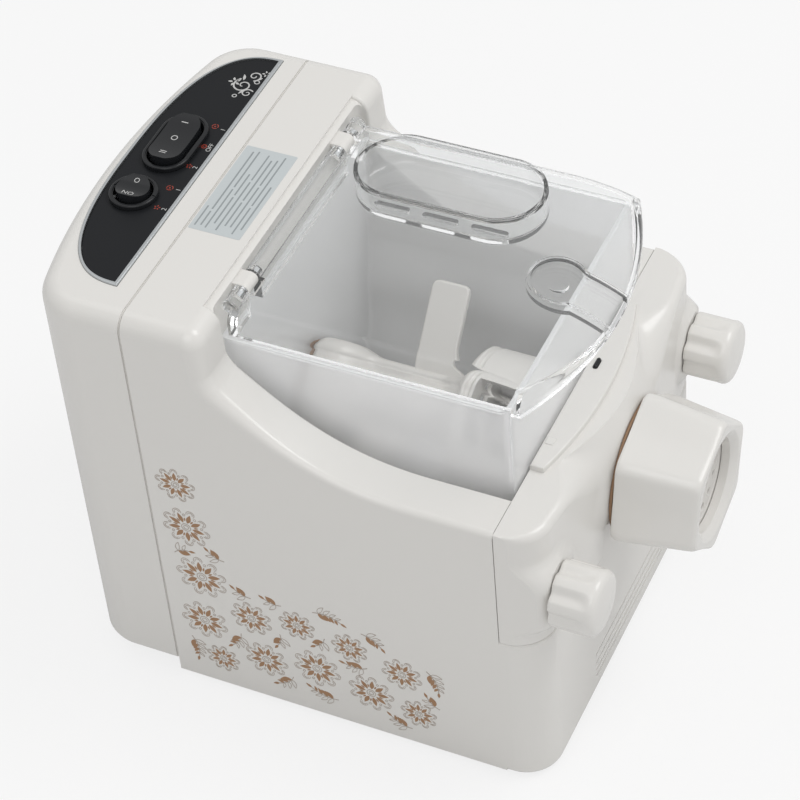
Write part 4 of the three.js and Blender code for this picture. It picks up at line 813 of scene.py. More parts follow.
def build_switches():
    """Two rockers with hollowed tops in black bezels."""
    for kind, name in ((POWER, "power"), (PROGRAM, "program")):
        x, y, length, _ = kind
        base = PANEL_TOP + 0.3
        lower = slab(obround(*kind, grow=2.6), base - 11, base + 1)
        collar = slab(obround(*kind, grow=3.6), base, base + 2.4, (0, 0.9))
        opening = slab(obround(*kind, grow=1.4), base - 12, 250)
        flare = slab(inset(obround(*kind, grow=1.4), -0.5), base + 1.9, 250)
        pin = bar(ROCKER_PIN, y - 30, y + 30, x, ROCKER_Z, sides=24)
        bezel = cut(joined(lower, collar), opening, flare, pin)
        finished(bezel, name + "_ring", "base", "black", name + "_bezel")
        half, top, low = length / 2, CAP_TOP, 227.2
        along = x + (half - CAP_EDGE) * np.linspace(1, -1, 33)
        profile = np.concatenate([
            [(x - half, low + 1), (x, low - 1), (x + half, low + 1), (x + half, top - 1)],
            np.stack([along, cap_top(kind, along)], -1),
            [(x - half, top - 1)],
        ])
        cap = slab(profile, y - 20, y + 20, axis="Y")
        cap = common(cap, slab(obround(*kind), low - 2, top + 2))
        cap = cut(cap, bar(ROCKER_PIN, y - 20, y + 20, x, ROCKER_Z, sides=24))
        finished(cap, name + "_cap", name + "_switch", "black", name + "_rocker", crease=40)
        soft = cap.modifiers.new("Soft edges", "BEVEL")
        soft.width = 0.6 * MM
        soft.segments = 3
        soft.limit_method = "ANGLE"
        soft.angle_limit = math.radians(40)
        cap.modifiers.move(1, 0)


# Bucket and lid.


def trough(depth):
    """A half round below, sides that flare out to the rim above."""
    low, high = 66.0 - depth, BUCKET_HALF - depth
    top = RIM_Z + 1 if depth else RIM_Z
    bottom = arc(0, SHAFT_Z, low, PI, 2 * PI, 64)
    share = np.linspace(0, 1, 13)[1:]
    flare = np.stack([low + eased(high - low, share), SHAFT_Z + 34.0 * share], -1)
    return np.concatenate([bottom, flare, [(high, top), (-high, top)], flare[::-1] * (-1, 1)])


def build_bucket():
    """The clear mixing bucket with its rim flange."""
    front, rear = BUCKET_FRONT + CLEAR_WALL, BUCKET_REAR - CLEAR_WALL
    outer = slab(trough(0.0), BUCKET_FRONT, BUCKET_REAR, (1.0, 1.0), 3, "Y")
    inside = slab(trough(CLEAR_WALL), front, rear, (2.4, 2.4), axis="Y")
    rim = slab(box_outline(-73.8, 73.8, front, BUCKET_REAR, 3.0), 212.0, RIM_Z, (0.6, 0.6), 2)
    hole = slab(box_outline(-69.4, 69.4, front, rear, 2.0), 205.0, 216.0)
    bucket = cut(joined(outer, rim), inside, hole, bar(30.3, 20, 26, sides=128),
                 bar(15.0, 156, 163))
    finished(bucket, "clear_bucket", "base", "milky", "mixing_bucket")


def lid_top(y):
    """The lid's top falls towards the front by a power of the way into its first 50 mm."""
    return LID_TOP - 13.0 * np.clip((LID_FRONT + 50.0 - y) / 50.0, 0, 1) ** 2.2


def lid_body(depth, drop):
    """Round-shouldered sections along the lid, narrowing on a wide arc to its front lip."""
    bow = 17.6
    front, half = LID_FRONT + depth, BUCKET_HALF - depth
    radius = (half ** 2 + bow ** 2) / (2 * bow)
    share = np.array([0.004, 0.015, 0.035, 0.065, 0.11, 0.17, 0.25, 0.35, 0.47, 0.6, 0.74, 0.88])
    rear = HINGE_Y - (4.0 if depth else 0.0)
    along = np.concatenate([bow * share, np.linspace(bow, 50, 14), [rear - front]])
    chord = np.sqrt(np.maximum(radius ** 2 - (radius - along) ** 2, 0))
    wide = np.where(along < bow, chord, half)
    high = lid_top(front + along) - depth - drop
    low = RIM_Z - 6.0 if depth else RIM_Z - 3.0
    edge = np.maximum(np.minimum(8.0 - depth, (high - RIM_Z) * 0.9), 0.3)
    edge = np.minimum(edge, wide / 2)
    turn = np.linspace(0, PI / 2, 8)
    x = (wide - edge)[:, None] + edge[:, None] * np.cos(turn)
    z = (high - edge)[:, None] + edge[:, None] * np.sin(turn)
    foot = np.stack([wide, np.full_like(wide, low)], -1)[:, None]
    right = np.concatenate([foot, np.stack([x, z], -1)], 1)
    section = np.concatenate([right, right[:, ::-1] * (-1, 1)], 1)
    y = np.broadcast_to((front + along)[:, None, None], (*section.shape[:2], 1))
    return lofted(np.concatenate([section[:, :, :1], y, section[:, :, 1:]], -1))


def basin(grow, low, high, edges, steps=4):
    """The pouring basin's outline, long along the depth, as a slab."""
    outline = obround(BASIN_Y, BASIN_X, 90.0, 41.0, grow, 32)[:, ::-1]
    return slab(outline, low, high, edges, steps)


def keyhole(grow, low=200, high=ABOVE):
    """The finger recess as a slab: a round with a channel to the lip."""
    radius, half = 13.0 + grow, 10.0 + grow
    turn = math.asin(half / radius)
    round_part = arc(0, LID_FRONT + 28.0, radius, -PI / 2 + turn, 1.5 * PI - turn, 48)
    lip = [(-half, LID_FRONT - 1), (half, LID_FRONT - 1)]
    return slab(np.concatenate([round_part, lip]), low, high)


def build_lid():
    """The clear lid: shell, pouring basin with three slots, finger recess and hinge bar."""
    bottom = 210.6
    tab_cut = cut(keyhole(0.0), lid_body(0.0, CLEAR_WALL))
    tab_keep = cut(keyhole(CLEAR_WALL), lid_body(CLEAR_WALL, CLEAR_WALL))
    inner = cut(lid_body(CLEAR_WALL, 0.0), tab_keep, basin(2.1, bottom, ABOVE, (4.0, 0), 6))
    shell = cut(lid_body(0.0, 0.0), block(-100, 100, 21.5, 200, 190, 214.3), tab_cut)
    shell = cut(shell, inner)
    cup = basin(2.1, bottom, 226.8, (4.0, 0), 6)
    rim = cut(basin(2.0, 226.4, 228.5, (0, 0.7)), basin(0.2, 220, 232, (0, 0)))
    hinge = bar(4.0, -67.8, 67.8, HINGE_Y, HINGE_Z, "X", 48, 0.8)
    bead = cut(keyhole(1.6, 205), keyhole(0.1, 200, 245))
    bead = common(bead, cut(lid_body(0.0, -0.9), lid_body(CLEAR_WALL, 0.0)))
    spot = bar(5.0, 222.3, 224.4, 0, LID_FRONT + 29.0, "Z", 40, 0.5)
    shell = joined(shell, cup, rim, hinge, bead, spot)
    slots = [slab(obround(BASIN_Y + step, 33.7, 18.0, 3.2)[:, ::-1], 205, 214)
             for step in (-24.5, 0, 24.5)]
    ears = (-EAR_X, EAR_X)
    notches = [block(x - 5.6, x + 5.6, 151.1, 200, 213, ABOVE) for x in ears]
    pins = [bar(HINGE_PIN, x - 10.3, x + 10.3, HINGE_Y, HINGE_Z, "X", 24) for x in ears]
    shell = cut(shell, basin(0.0, 213.0, ABOVE, (3.0, 0), 6), *slots, *notches, *pins)
    finished(shell, "clear_lid", "lid", "clear", "lid")


# Barrel, die and rod.


def build_barrel():
    """The extrusion barrel: thread, plain tube, ribbed shoulder and slanting feed window."""
    bore, crest, root, tube, rib = 24.4, 28.4, 27.7, 30.0, 36.0
    profile = [(bore, -36.3), (crest, -36.3)]
    for k in range(9):
        y = -34.6 + k * 2.9
        profile += [(crest, y), (root, y + 0.7), (root, y + 1.5), (crest, y + 2.2)]
    profile += [(crest, -8.7), (tube, -8.7), (tube, 24.5), (rib, 24.5), (rib, 30.5), (34.6, 31.2),
                (34.6, 36.6), (rib, 37.4), (rib, 41.2), (rib, 69.0), (34.8, 69.8), (34.8, 71.4),
                (rib, 72.2), (rib, 73.4), (34.2, 75.2), (bore, 75.2)]
    corners = np.array([(-17.0, 1.0), (17.0, 1.0), (17.0, 37.0), (-17.0, 37.0)])
    turn = np.array([(math.cos(0.6), -math.sin(0.6)), (math.sin(0.6), math.cos(0.6))])
    window = slab(corners @ turn.T + (0, SHAFT_Z), 42.5, 67.5, axis="Y")
    barrel = cut(turned(softened(profile, 0.35, 2), sides=128), window)
    finished(barrel, "barrel_tube", "base", "food", "extrusion_barrel")
    ring = turned(softened([(30.3, -7.9), (33.6, -7.9), (33.6, -6.5), (30.3, -6.5)], 0.4))
    finished(ring, "barrel_ring", "base", "seal", "barrel_seal")


def nut_section(scale, hollowing):
    """A six-sided round: each face is the lesser of a flat and the ridge's circle, hollowed."""
    ridge, sharp = 38.0, 60.0
    angle = np.linspace(0, 2 * PI, 240, endpoint=False)
    off_face = (angle + PI / 6) % (PI / 3) - PI / 6
    face = ridge * 0.895 / np.cos(off_face)
    radius = -np.log(np.exp(-face * sharp / ridge) + np.exp(-sharp)) * ridge / sharp
    radius = np.minimum(np.minimum(face, ridge), radius + 0.2)
    radius = (radius - hollowing * np.cos(3 * off_face) ** 2) * scale
    return around(0, SHAFT_Z, radius, angle + 0.297 - PI / 6)


# Places along the nut, with the scale and the hollowing of its section there.
NUT_LEVELS = [
    (-8.2, 0.985, 0.2), (-8.4, 0.998, 0.3), (-8.9, 1.01, 0.5), (-9.8, 1.019, 0.9),
    (-11.4, 1.022, 1.2), (-15.0, 1.018, 1.5), (-20.0, 1.0, 1.5), (-27.0, 0.974, 1.2),
    (-34.0, 0.948, 0.9), (-40.0, 0.925, 0.65), (-44.0, 0.911, 0.55), (-45.6, 0.903, 0.5),
    (-46.8, 0.89, 0.4), (-47.6, 0.872, 0.3), (-48.0, 0.85, 0.2),
]


def build_die_nut():
    """The die nut: six hollowed faces that taper to a rounded front edge and a wide mouth."""
    body = lofted([set_in(nut_section(scale, hollow), y, "Y") for y, scale, hollow in NUT_LEVELS])
    bore = bar(28.8, -40.5, -5, sides=128)
    mouth = [(0, -50.0), (27.4, -50.0), (27.4, -48.0), (26.0, -47.5), (24.0, -45.6),
             (23.0, -44.6), (23.0, -40.2), (0, -40.2)]
    finished(cut(body, bore, turned(mouth, sides=128)), "nut_body", "nut", "shell", "die_nut")


def build_die_plate():
    """The die plate: a disc with two rings of round holes and a raised rim."""
    rim = [(0, -39.6), (20.5, -39.6), (21.5, -40.2), (28.4, -40.2), (28.4, -36.6), (0, -36.6)]
    hole = [(0, -41.0), (2.5, -41.0), (2.5, -39.8), (1.9, -39.0), (1.9, -35.0), (0, -35.0)]
    disc = turned(softened(rim, [0, 0.3, 0.3, 0.3, 0.3, 0], 2))
    holes = [turned(hole, *off((0, SHAFT_Z), radius, turn), 20)
             for radius, count in ((8.0, 6), (16.5, 12))
             for turn in np.arange(count) * 2 * PI / count]
    finished(cut(disc, *holes), "die_disc", "base", "food", "die_plate")


# Places along a knob, with how much its radius shrinks and its flutes' share there.
KNOB_LEVELS = [
    (-3.6, 0.5, 1.0), (-4.1, 0.1, 1.0), (-5.0, 0.0, 1.0), (-10.0, 0.0, 1.0), (-15.0, 0.0, 1.0),
    (-17.5, 0.02, 0.85), (-19.5, 0.1, 0.45), (-21.0, 0.2, 0.15), (-22.2, 0.35, 0.0),
    (-23.4, 0.7, 0.0), (-24.4, 1.4, 0.0), (-25.1, 2.4, 0.0), (-25.5, 3.6, 0.0),
    (-25.9, 6.0, 0.0), (-26.3, 9.5, 0.0), (-26.6, 13.0, 0.0), (-26.7, 15.999, 0.0),
]


def build_knobs():
    """The two side knobs: eight flutes that run out before a round front rim, and a low dome."""
    full, flute = 16.0, 1.9
    turn = np.linspace(0, 2 * PI, 192, endpoint=False)
    dip = np.clip(1 - (1 - np.abs(np.cos(4 * turn))) * 1.9, 0, 1) ** 1.5
    for side, name in ((-STUD_X, "left"), (STUD_X, "right")):
        rings = []
        for y, shrink, share in KNOB_LEVELS:
            radius = full - flute * share * dip - shrink
            rings.append(set_in(around(side, SHAFT_Z, radius, turn), y, "Y"))
        knob = cut(lofted(rings), bar(4.4, -18.6, -2, side))
        finished(knob, name + "_knob_body", name + "_knob", "shell", "knob_" + name, crease=40)


def build_auger():
    """The auger: a helical flight, thick at its root, on a round core with a six-sided key."""
    pitch, rim = 24.0, 23.6
    turns = (77.9 + 34.3 - 9.0) / pitch
    share = np.linspace(0, 1, 260)
    t = share * turns * 2 * PI
    y = -29.8 + share * turns * pitch
    section = [(4.5, -2.6), (9.0, -2.2), (12.0, -1.3), (rim, -1.0),
               (rim, 1.0), (12.0, 1.3), (9.0, 2.2), (4.5, 2.6)]
    radius, along = softened(section, 0.5, 2).T
    flight = lofted(np.stack([radius * np.sin(t)[:, None], y[:, None] + along,
                              SHAFT_Z + radius * np.cos(t)[:, None]], -1))
    core = turned([(0, -34.3), (3.5, -34.1), (5.6, -33.2), (8.0, -31.4), (9.0, -29.0),
                   (9.0, 77.9), (0, 77.9)], sides=64)
    screw = joined(core, flight, bar(6.0, 76.9, 91.9, sides=6))
    finished(screw, "auger_screw", "drive_line", "food", "auger")


def blade(turn, share):
    """A flat blade that stands out from the rod, round at its corners, with a web in front."""
    y = ROD_FRONT + (ROD_REAR - ROD_FRONT) * share
    outline = [(y - 20.5, 4), (y + 9.5, 4), (y + 9.5, 60), (y - 9.5, 60), (y - 9.5, 26),
               (y - 20.5, 13)]
    shape = slab(softened(outline, [0, 0, 4, 4, 6, 1.5], 6), -2.0, 2.0, (0.9, 0.9), 3, "X")
    c, s = math.cos(turn), math.sin(turn)
    moved(shape.data, lambda x, y, z: (x * c + z * s, y, SHAFT_Z - x * s + z * c))
    return shape


def build_rod():
    """The stirring rod: collar, plain shank, swelling hub and three blades."""
    profile = [(0, ROD_FRONT), (15.6, ROD_FRONT), (15.6, 85.8), (13.0, 90.4), (13.0, 125.6),
               (14.2, 129.0), (18.0, 133.2), (22.0, 138.0), (24.0, 143.9), (24.0, 152.6),
               (22.0, ROD_REAR), (0, ROD_REAR)]
    core = turned(softened(profile, [0, 1.2, 1.2, 1.5, 3, 3, 3, 3, 3, 1, 1, 0], 3))
    blades = [blade(turn, share) for turn, share in ((0.7, 0.28), (3.9, 0.55), (2.31, 0.765))]
    rod = cut(joined(core, *blades), bar(6.3, 77, 93.2, sides=6), bar(6.3, 138.3, 156))
    finished(rod, "stirring_blades", "drive_line", "food", "stirring_rod")


# Print and marks.


def bent(start, turn, length, bend, steps):
    """A line of even steps whose direction turns by bend in all, and its directions."""
    share = np.linspace(0, 1, steps + 1)
    angle = turn + bend * (share - 0.5)
    step = np.stack([np.cos(angle), np.sin(angle)], -1) * length / steps
    line = np.asarray(start, float) + np.concatenate([[(0, 0)], np.cumsum(step[1:], 0)])
    return line, angle


def almond(start, turn, length, width, bend=0.0, steps=12):
    """A stroke whose half width follows a sine along its length, on a line bent to an arc."""
    share = np.linspace(0, 1, steps + 1)
    half = np.maximum(width / 2 * np.sin(PI * share ** 0.85), 0.04)
    return bent(start, turn, length, bend, steps)[0], half


def thread(line, width):
    """A stroke of even width."""
    line = np.asarray(line, float)
    return line, np.full(len(line), width / 2)


def loop(centre, radius, width, start=0.0, span=2 * PI - 0.02, steps=28):
    """An arc of a circle as a stroke."""
    return thread(around(*centre, radius, start + np.linspace(0, span, steps + 1)), width)


def spiral(centre, radius, turns, start, width, shrink=0.85, steps=36):
    """A stroke on a spiral that closes towards its centre and thins out."""
    share = np.linspace(0, 1, steps + 1)
    line = around(*centre, radius * (1 - shrink * share), start + share * turns * 2 * PI)
    return line, width / 2 * (1 - 0.4 * share)


def stroked(strokes, plane, depth=0.06, sink=0.03):
    """Strokes as thin closed strips on a plane: (axis, place, outward sign).

    Their tops step through thirteen heights, so that strokes that cross never share a face.
    """
    axis, place, sign = plane
    low = place - sign * sink
    points, faces, base = [], [], 0
    for k, (line, half) in enumerate(strokes):
        high = place + sign * (depth + 0.004 * (k * 5 % 13))
        across = left_of(np.gradient(line, axis=0)) * half[:, None]
        corners = [set_in(line - across, low, axis), set_in(line + across, low, axis),
                   set_in(line + across, high, axis), set_in(line - across, high, axis)]
        index = base + np.arange(len(line) * 4).reshape(-1, 4)
        faces += quads_between(index[:-1], index[1:]) + index[[0, -1]].tolist()
        points.append(np.stack(corners, 1).reshape(-1, 3))
        base += index.size
    return solid(np.concatenate(points), faces, merge=False)


def daisy(centre, size, turn, petals=9):
    """A round flower: two rings, long and short filled petals, and a lace edge of arcs."""
    filled, lines = [], [loop(centre, size * 0.19, 0.3), loop(centre, size * 0.1, 0.25)]
    for k in range(petals):
        angle = turn + 2 * PI * k / petals
        between = angle + PI / petals
        for way, start, reach, wide in ((angle, 0.26, 0.5, 0.19), (between, 0.34, 0.2, 0.07)):
            near = off(centre, size * start, way)
            filled.append(almond(near, way, size * reach, size * wide))
        tip = off(centre, size * 0.82, angle)
        lines.append(loop(tip, size * 0.17, 0.24, angle - 2.1, 4.2, 14))
        lines.append(loop(tip, size * 0.1, 0.2, angle - 1.9, 3.8, 10))
        lines.append(loop(off(centre, size * 0.68, between), size * 0.055, 0.2, steps=8))
    return filled, lines


def fern(start, turn, length, pairs, leaf=6.0):
    """A bent stem with pairs of leaves that shorten to its tip, one filled, one in outline."""
    line, angle = bent(start, turn, length, 0.9, 2 * pairs + 2)
    filled, lines = [], [thread(line, 0.34)]
    for k in range(pairs):
        place, way = line[2 * k + 2], angle[2 * k + 2]
        size = leaf * (1 - 0.55 * k / pairs)
        filled.append(almond(place, way + 0.85, size, size * 0.42, -0.5))
        edge, half = almond(place, way - 0.85, size, size * 0.36, 0.5, 14)
        side = left_of(np.gradient(edge, axis=0)) * half[:, None]
        lines += [thread(edge + side, 0.22), thread(edge - side, 0.22)]
    filled.append(almond(line[-1], angle[-1], leaf * 0.6, leaf * 0.24))
    return filled, lines


# Each daisy's centre, size and turn, and each fern's start, turn, length and pairs of leaves.
DAISIES = [
    ((180.5, 137.0), 10.5, 0.2), ((178.5, 109.0), 12.5, 0.5), ((174.5, 76.0), 13.5, 0.1),
    ((177.0, 44.0), 12.5, 0.6), ((170.0, 18.5), 9.0, 0.3), ((150.5, 56.0), 11.0, 0.0),
    ((145.5, 28.0), 11.5, 0.4), ((126.0, 61.0), 9.5, 0.2), ((118.0, 33.0), 12.5, 0.5),
    ((99.0, 56.0), 9.5, 0.1), ((90.0, 27.0), 12.0, 0.3), ((72.5, 48.0), 10.5, 0.6),
    ((65.5, 22.0), 9.5, 0.15),
]
FERNS = [
    ((108.3, 13.7), 0.19, 15, 4), ((116.6, 74.2), -3.05, 15, 4), ((59.5, 56.0), -2.01, 15, 4),
    ((186.0, 28.8), -1.77, 15, 4), ((90.8, 44.6), -0.16, 12, 3), ((157.7, 41.9), -1.14, 12, 3),
    ((131.8, 20.7), -0.82, 12, 3), ((92.0, 69.2), -2.64, 12, 3), ((69.7, 9.3), 0.36, 12, 3),
    ((160.7, 92.0), 0.39, 9, 2), ((136.1, 50.4), -1.44, 9, 2), ((187.4, 88.5), 2.65, 9, 2),
    ((54.1, 30.2), 0.71, 9, 2), ((133.2, 71.9), 0.09, 9, 2), ((112.0, 57.2), -1.02, 9, 2),
    ((149.3, 70.8), 0.3, 9, 2),
]


def build_print():
    """The side print, of daisies and ferns, along the rear and lower edges of the left side."""
    found = [daisy(*row) for row in DAISIES] + [fern(*row) for row in FERNS]
    filled, lines = (sum(strokes, []) for strokes in zip(*found))
    side = ("X", -HALF, -1)
    finished(stroked(filled, side), "side_print_fill", "base", "print")
    finished(stroked(lines, side, 0.13), "side_print_line", "base", "line")


def lettered(words, place, size, turn, height, name, body):
    """Plain letters or numbers, laid on a surface whose height is a function of x."""
    curve = bpy.data.curves.new(name, "FONT")
    curve.body = words
    curve.size = size
    curve.align_x = curve.align_y = "CENTER"
    curve.extrude = MARK_DEPTH
    writer = linked("writer", curve)
    bpy.context.view_layer.update()
    graph = bpy.context.evaluated_depsgraph_get()
    mesh = bpy.data.meshes.new_from_object(writer.evaluated_get(graph))
    bpy.data.objects.remove(writer)
    bpy.data.curves.remove(curve)
    c, s = math.cos(turn), math.sin(turn)

    def laid(x, y, z):
        across = place[0] + x * c - y * s
        return across, place[1] + x * s + y * c, height(across) + MARK_RISE + z

    moved(mesh, laid)
    finished(linked("work", mesh), name, body, "white")


# Each rocker mark's name, words, switch, place along it and size.
ROCKER_MARKS = [
    ("mark_on", "ON", "power", -26.6, 3.8), ("mark_o", "O", "power", -17.4, 3.6),
    ("mark_two", "II", "program", 4.6, 5.0), ("mark_zero", "O", "program", 16.0, 4.6),
    ("mark_one", "I", "program", 27.0, 5.0),
]
PANEL_WORDS = [("1", 33.4), ("OFF", 19.6), ("2", 4.6), ("1", -12.2), ("2", -26.4)]
SIGNS = [(34.4, 215.6, "swirl"), (19.6, 214.0, "power"), (4.6, 214.0, "star"),
         (-12.2, 215.4, "swirl"), (-26.4, 214.6, "star")]
LABEL_ROWS = [
    [(-31, -17)], [(-30, -20), (-18.5, 24)], [(-31, -3), (-1.5, 25)], [(-27, -8), (-6.5, 9)],
    [(-31, 4), (5.5, 24)], [(-27, -10), (-8.5, 21)], [(-27, 2), (3.5, 22)],
    [(-31, -12), (-10.5, 25)], [(-27, 4)],
]


def sign(x, y, kind):
    """A small sign: a broken ring with a bar, three arcs round a drop, or a five-leaved star."""
    if kind == "power":
        ring = loop((x, y), 1.2, 0.5, PI / 2 + 0.5, 2 * PI - 1.0, 16)
        return [ring, thread([(x, y), (x, y + 0.7), (x, y + 1.4)], 0.5)]
    if kind == "swirl":
        arcs = [loop((x, y), 1.5, 0.45, start, 1.7, 10) for start in (0.2, 2.3, 4.4)]
        return arcs + [almond((x - 0.6, y), 0, 1.2, 0.9)]
    return [almond(off((x, y), 0.6, t), t, 1.1, 0.7) for t in np.arange(5) * PI / 2.5]


def build_marks():
    """Marks of the switches and panel: ON, OFF and numbers, red signs, a pale scroll."""
    for name, words, switch, x, size in ROCKER_MARKS:
        kind, turn = (POWER, PI / 2) if switch == "power" else (PROGRAM, 0)
        lettered(words, (x, kind[1]), size, turn, lambda x: cap_top(kind, x), name,
                 switch + "_switch")
    for k, (word, x) in enumerate(PANEL_WORDS):
        lettered(word, (x, 210.9), 3.3, 0, lambda x: np.full_like(x, PANEL_TOP),
                 "panel_word_%d" % k, "base")
    panel = ("Z", PANEL_TOP, 1)
    red = sum((sign(*row) for row in SIGNS), [])
    finished(stroked(red, panel), "panel_signs", "base", "red")
    pale = [spiral((66.5, 217.0), 5.2, 1.4, 0.6, 0.9), spiral((74.4, 214.6), 3.6, 1.3, 3.4, 0.8),
            spiral((61.6, 212.6), 3.0, 1.3, 5.4, 0.7), loop((70.6, 211.6), 1.2, 0.5),
            loop((58.0, 217.4), 1.0, 0.5)]
    for k in range(5):
        turn = 0.5 + k * 2 * PI / 5
        pale.append(almond(off((67.6, 222.0), 0.9, turn), turn, 2.4, 1.2))
        pale.append(almond(off((77.8, 209.9), 0.7, turn), turn, 1.7, 0.9))
    pale += [almond((70.0, 218.6), 0.3, 4.4, 1.4, 0.6), almond((63.0, 214.6), 2.6, 3.6, 1.2, 0.6),
             almond((72.0, 212.0), -0.6, 3.0, 1.0)]
    finished(stroked(pale, panel), "panel_scroll", "base", "white")


def build_label():
    """A bare label with plain rows."""
    label = slab(box_outline(-33.5, 27.5, 169.0, 195.2, 0.8), TOP_Z - 0.05, LABEL_TOP)
    finished(label, "label_plate", "base", "label")
    rows = []
    for k, spans in enumerate(LABEL_ROWS):
        y = 193.0 - k * 2.7
        rows += [thread([(a, y), ((a + b) / 2, y), (b, y)], 0.75) for a, b in spans]
    finished(stroked(rows, ("Z", LABEL_TOP, 1), 0.03), "label_rows", "base", "rows")


# Stage.


# The photograph's view: turn, rise and roll in degrees, place in metres, focal length in mm.
VIEW_TURNS = (-61.846, 44.631, -5.429)
VIEW_PLACE = (-0.8764, -0.4615, 1.1066)
VIEW_LENS = 131.91


def build_camera():
    """The photograph's view, from the camera's own three axes."""
    azimuth, rise, roll = (math.radians(v) for v in VIEW_TURNS)
    level = math.cos(rise)
    back = Vector((math.sin(azimuth) * level, -math.cos(azimuth) * level, math.sin(rise)))
    right = Vector((math.cos(azimuth), math.sin(azimuth), 0))
    up = back.cross(right)
    x = right * math.cos(roll) + up * math.sin(roll)
    y = up * math.cos(roll) - right * math.sin(roll)
    lens = bpy.data.cameras.new("Camera")
    lens.sensor_width = 36.0
    lens.sensor_fit = "HORIZONTAL"
    lens.lens = VIEW_LENS
    lens.clip_end = 50.0
    camera = linked("Camera", lens)
    turned_axes = Matrix((x, y, back)).transposed().to_4x4()
    camera.matrix_world = Matrix.Translation(VIEW_PLACE) @ turned_axes
    bpy.context.scene.camera = camera


def lamp(name, place, height, size, power):
    """A round soft lamp at place, turned towards a point over the middle of the floor."""
    light = bpy.data.lights.new(name, "AREA")
    light.shape = "DISK"
    light.size = size
    light.energy = power
    shape = linked(name, light)
    shape.location = place
    way = Vector((0, 0, height)) - Vector(place)
    shape.rotation_euler = way.to_track_quat("-Z", "Y").to_euler()


def build_world(strength):
    """A white surround for camera, mirror and glass rays; a dimmer one lights the machine."""
    world = bpy.data.worlds.new("Surround")
    world.use_nodes = True
    bpy.context.scene.world = world
    maker = Maker("Surround", world)
    glossy = maker.blended(maker.rays("Glossy"), maker.background(strength),
                           maker.background(0.75))
    seen = maker.rays("Camera", "Transmission")
    maker.surface(maker.blended(seen, glossy, maker.background(1.0)), "ShaderNodeOutputWorld")


def floor_finish(glow):
    """A pale floor that reads nearly white and keeps a soft shadow."""
    maker = Maker("Floor")
    tone = maker.mixed(maker.noise(6.0), (0.8, 0.8, 0.8, 1), (0.82, 0.82, 0.82, 1))
    lit = maker.principled({"Base Color": tone, "Roughness": 0.8, "Specular IOR Level": 0.1})
    white = maker.add("ShaderNodeEmission", {}, {"Color": (1, 1, 1, 1), "Strength": 1.0})
    return maker.surface(maker.blended(maker.rays("Camera", "Transmission") * glow, lit, white))


def build_stage(look):
    """Floor, surround, lamps and camera."""
    size = 6.0
    corners = [(-size, -size, 0), (size, -size, 0), (size, size, 0), (-size, size, 0)]
    mesh = bpy.data.meshes.new("Floor")
    mesh.from_pydata(corners, [], [(0, 1, 2, 3)])
    mesh.materials.append(floor_finish(look.floor_glow))
    linked("Floor", mesh)
    build_world(look.surround)
    lamp("Key", (0.55, -1.0, 1.8), 0.12, 1.1, look.key)
    lamp("Fill", (-1.2, -0.3, 1.7), 0.12, 1.4, look.fill)
    lamp("Top", (0.2, 0.9, 1.9), 0.15, 1.2, look.top)
    build_camera()
    bpy.context.scene.view_settings.view_transform = "Standard"


# The finish of each node of the frame that stays in view, by how its name starts.
CAD_FINISH = {
    # The base plate takes the inner finish: housing plastic painted darker as shade.
    "inner": ("base_plate",), "shell": ("rear_vent_grille",), "motor": ("motor_can",),
    "black": ("power_inlet", "cooling_fan"), "board": ("circuit_board",),
    "gear": ("output_gear", "middle_gear", "gearbox_case", "gearbox_cover"),
    "seal": ("shaft_seal",), "rubber": ("foot_",),
    "steel": ("base_screw_", "lid_hinge_pin_", "stud_", "drive_shaft", "shaft_bearing",
              "middle_axle", "motor_rotor", "power_rocker_pin", "program_rocker_pin"),
}


def dress_frame():
    """Gives every node that stays in view its finish."""
    for name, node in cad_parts.items():
        if node.hide_render:
            continue
        found = [finish for finish, starts in CAD_FINISH.items() if name.startswith(starts)]
        if not found:
            raise RuntimeError("no finish is listed for " + name)
        node.data.materials.clear()
        node.data.materials.append(FINISH[found[0]])


# Add-on.

COLOUR = {"subtype": "COLOR", "size": 3, "min": 0, "max": 1}
FACTOR = {"subtype": "FACTOR", "min": 0, "max": 1}
LAMP = {"unit": "POWER", "min": 0}


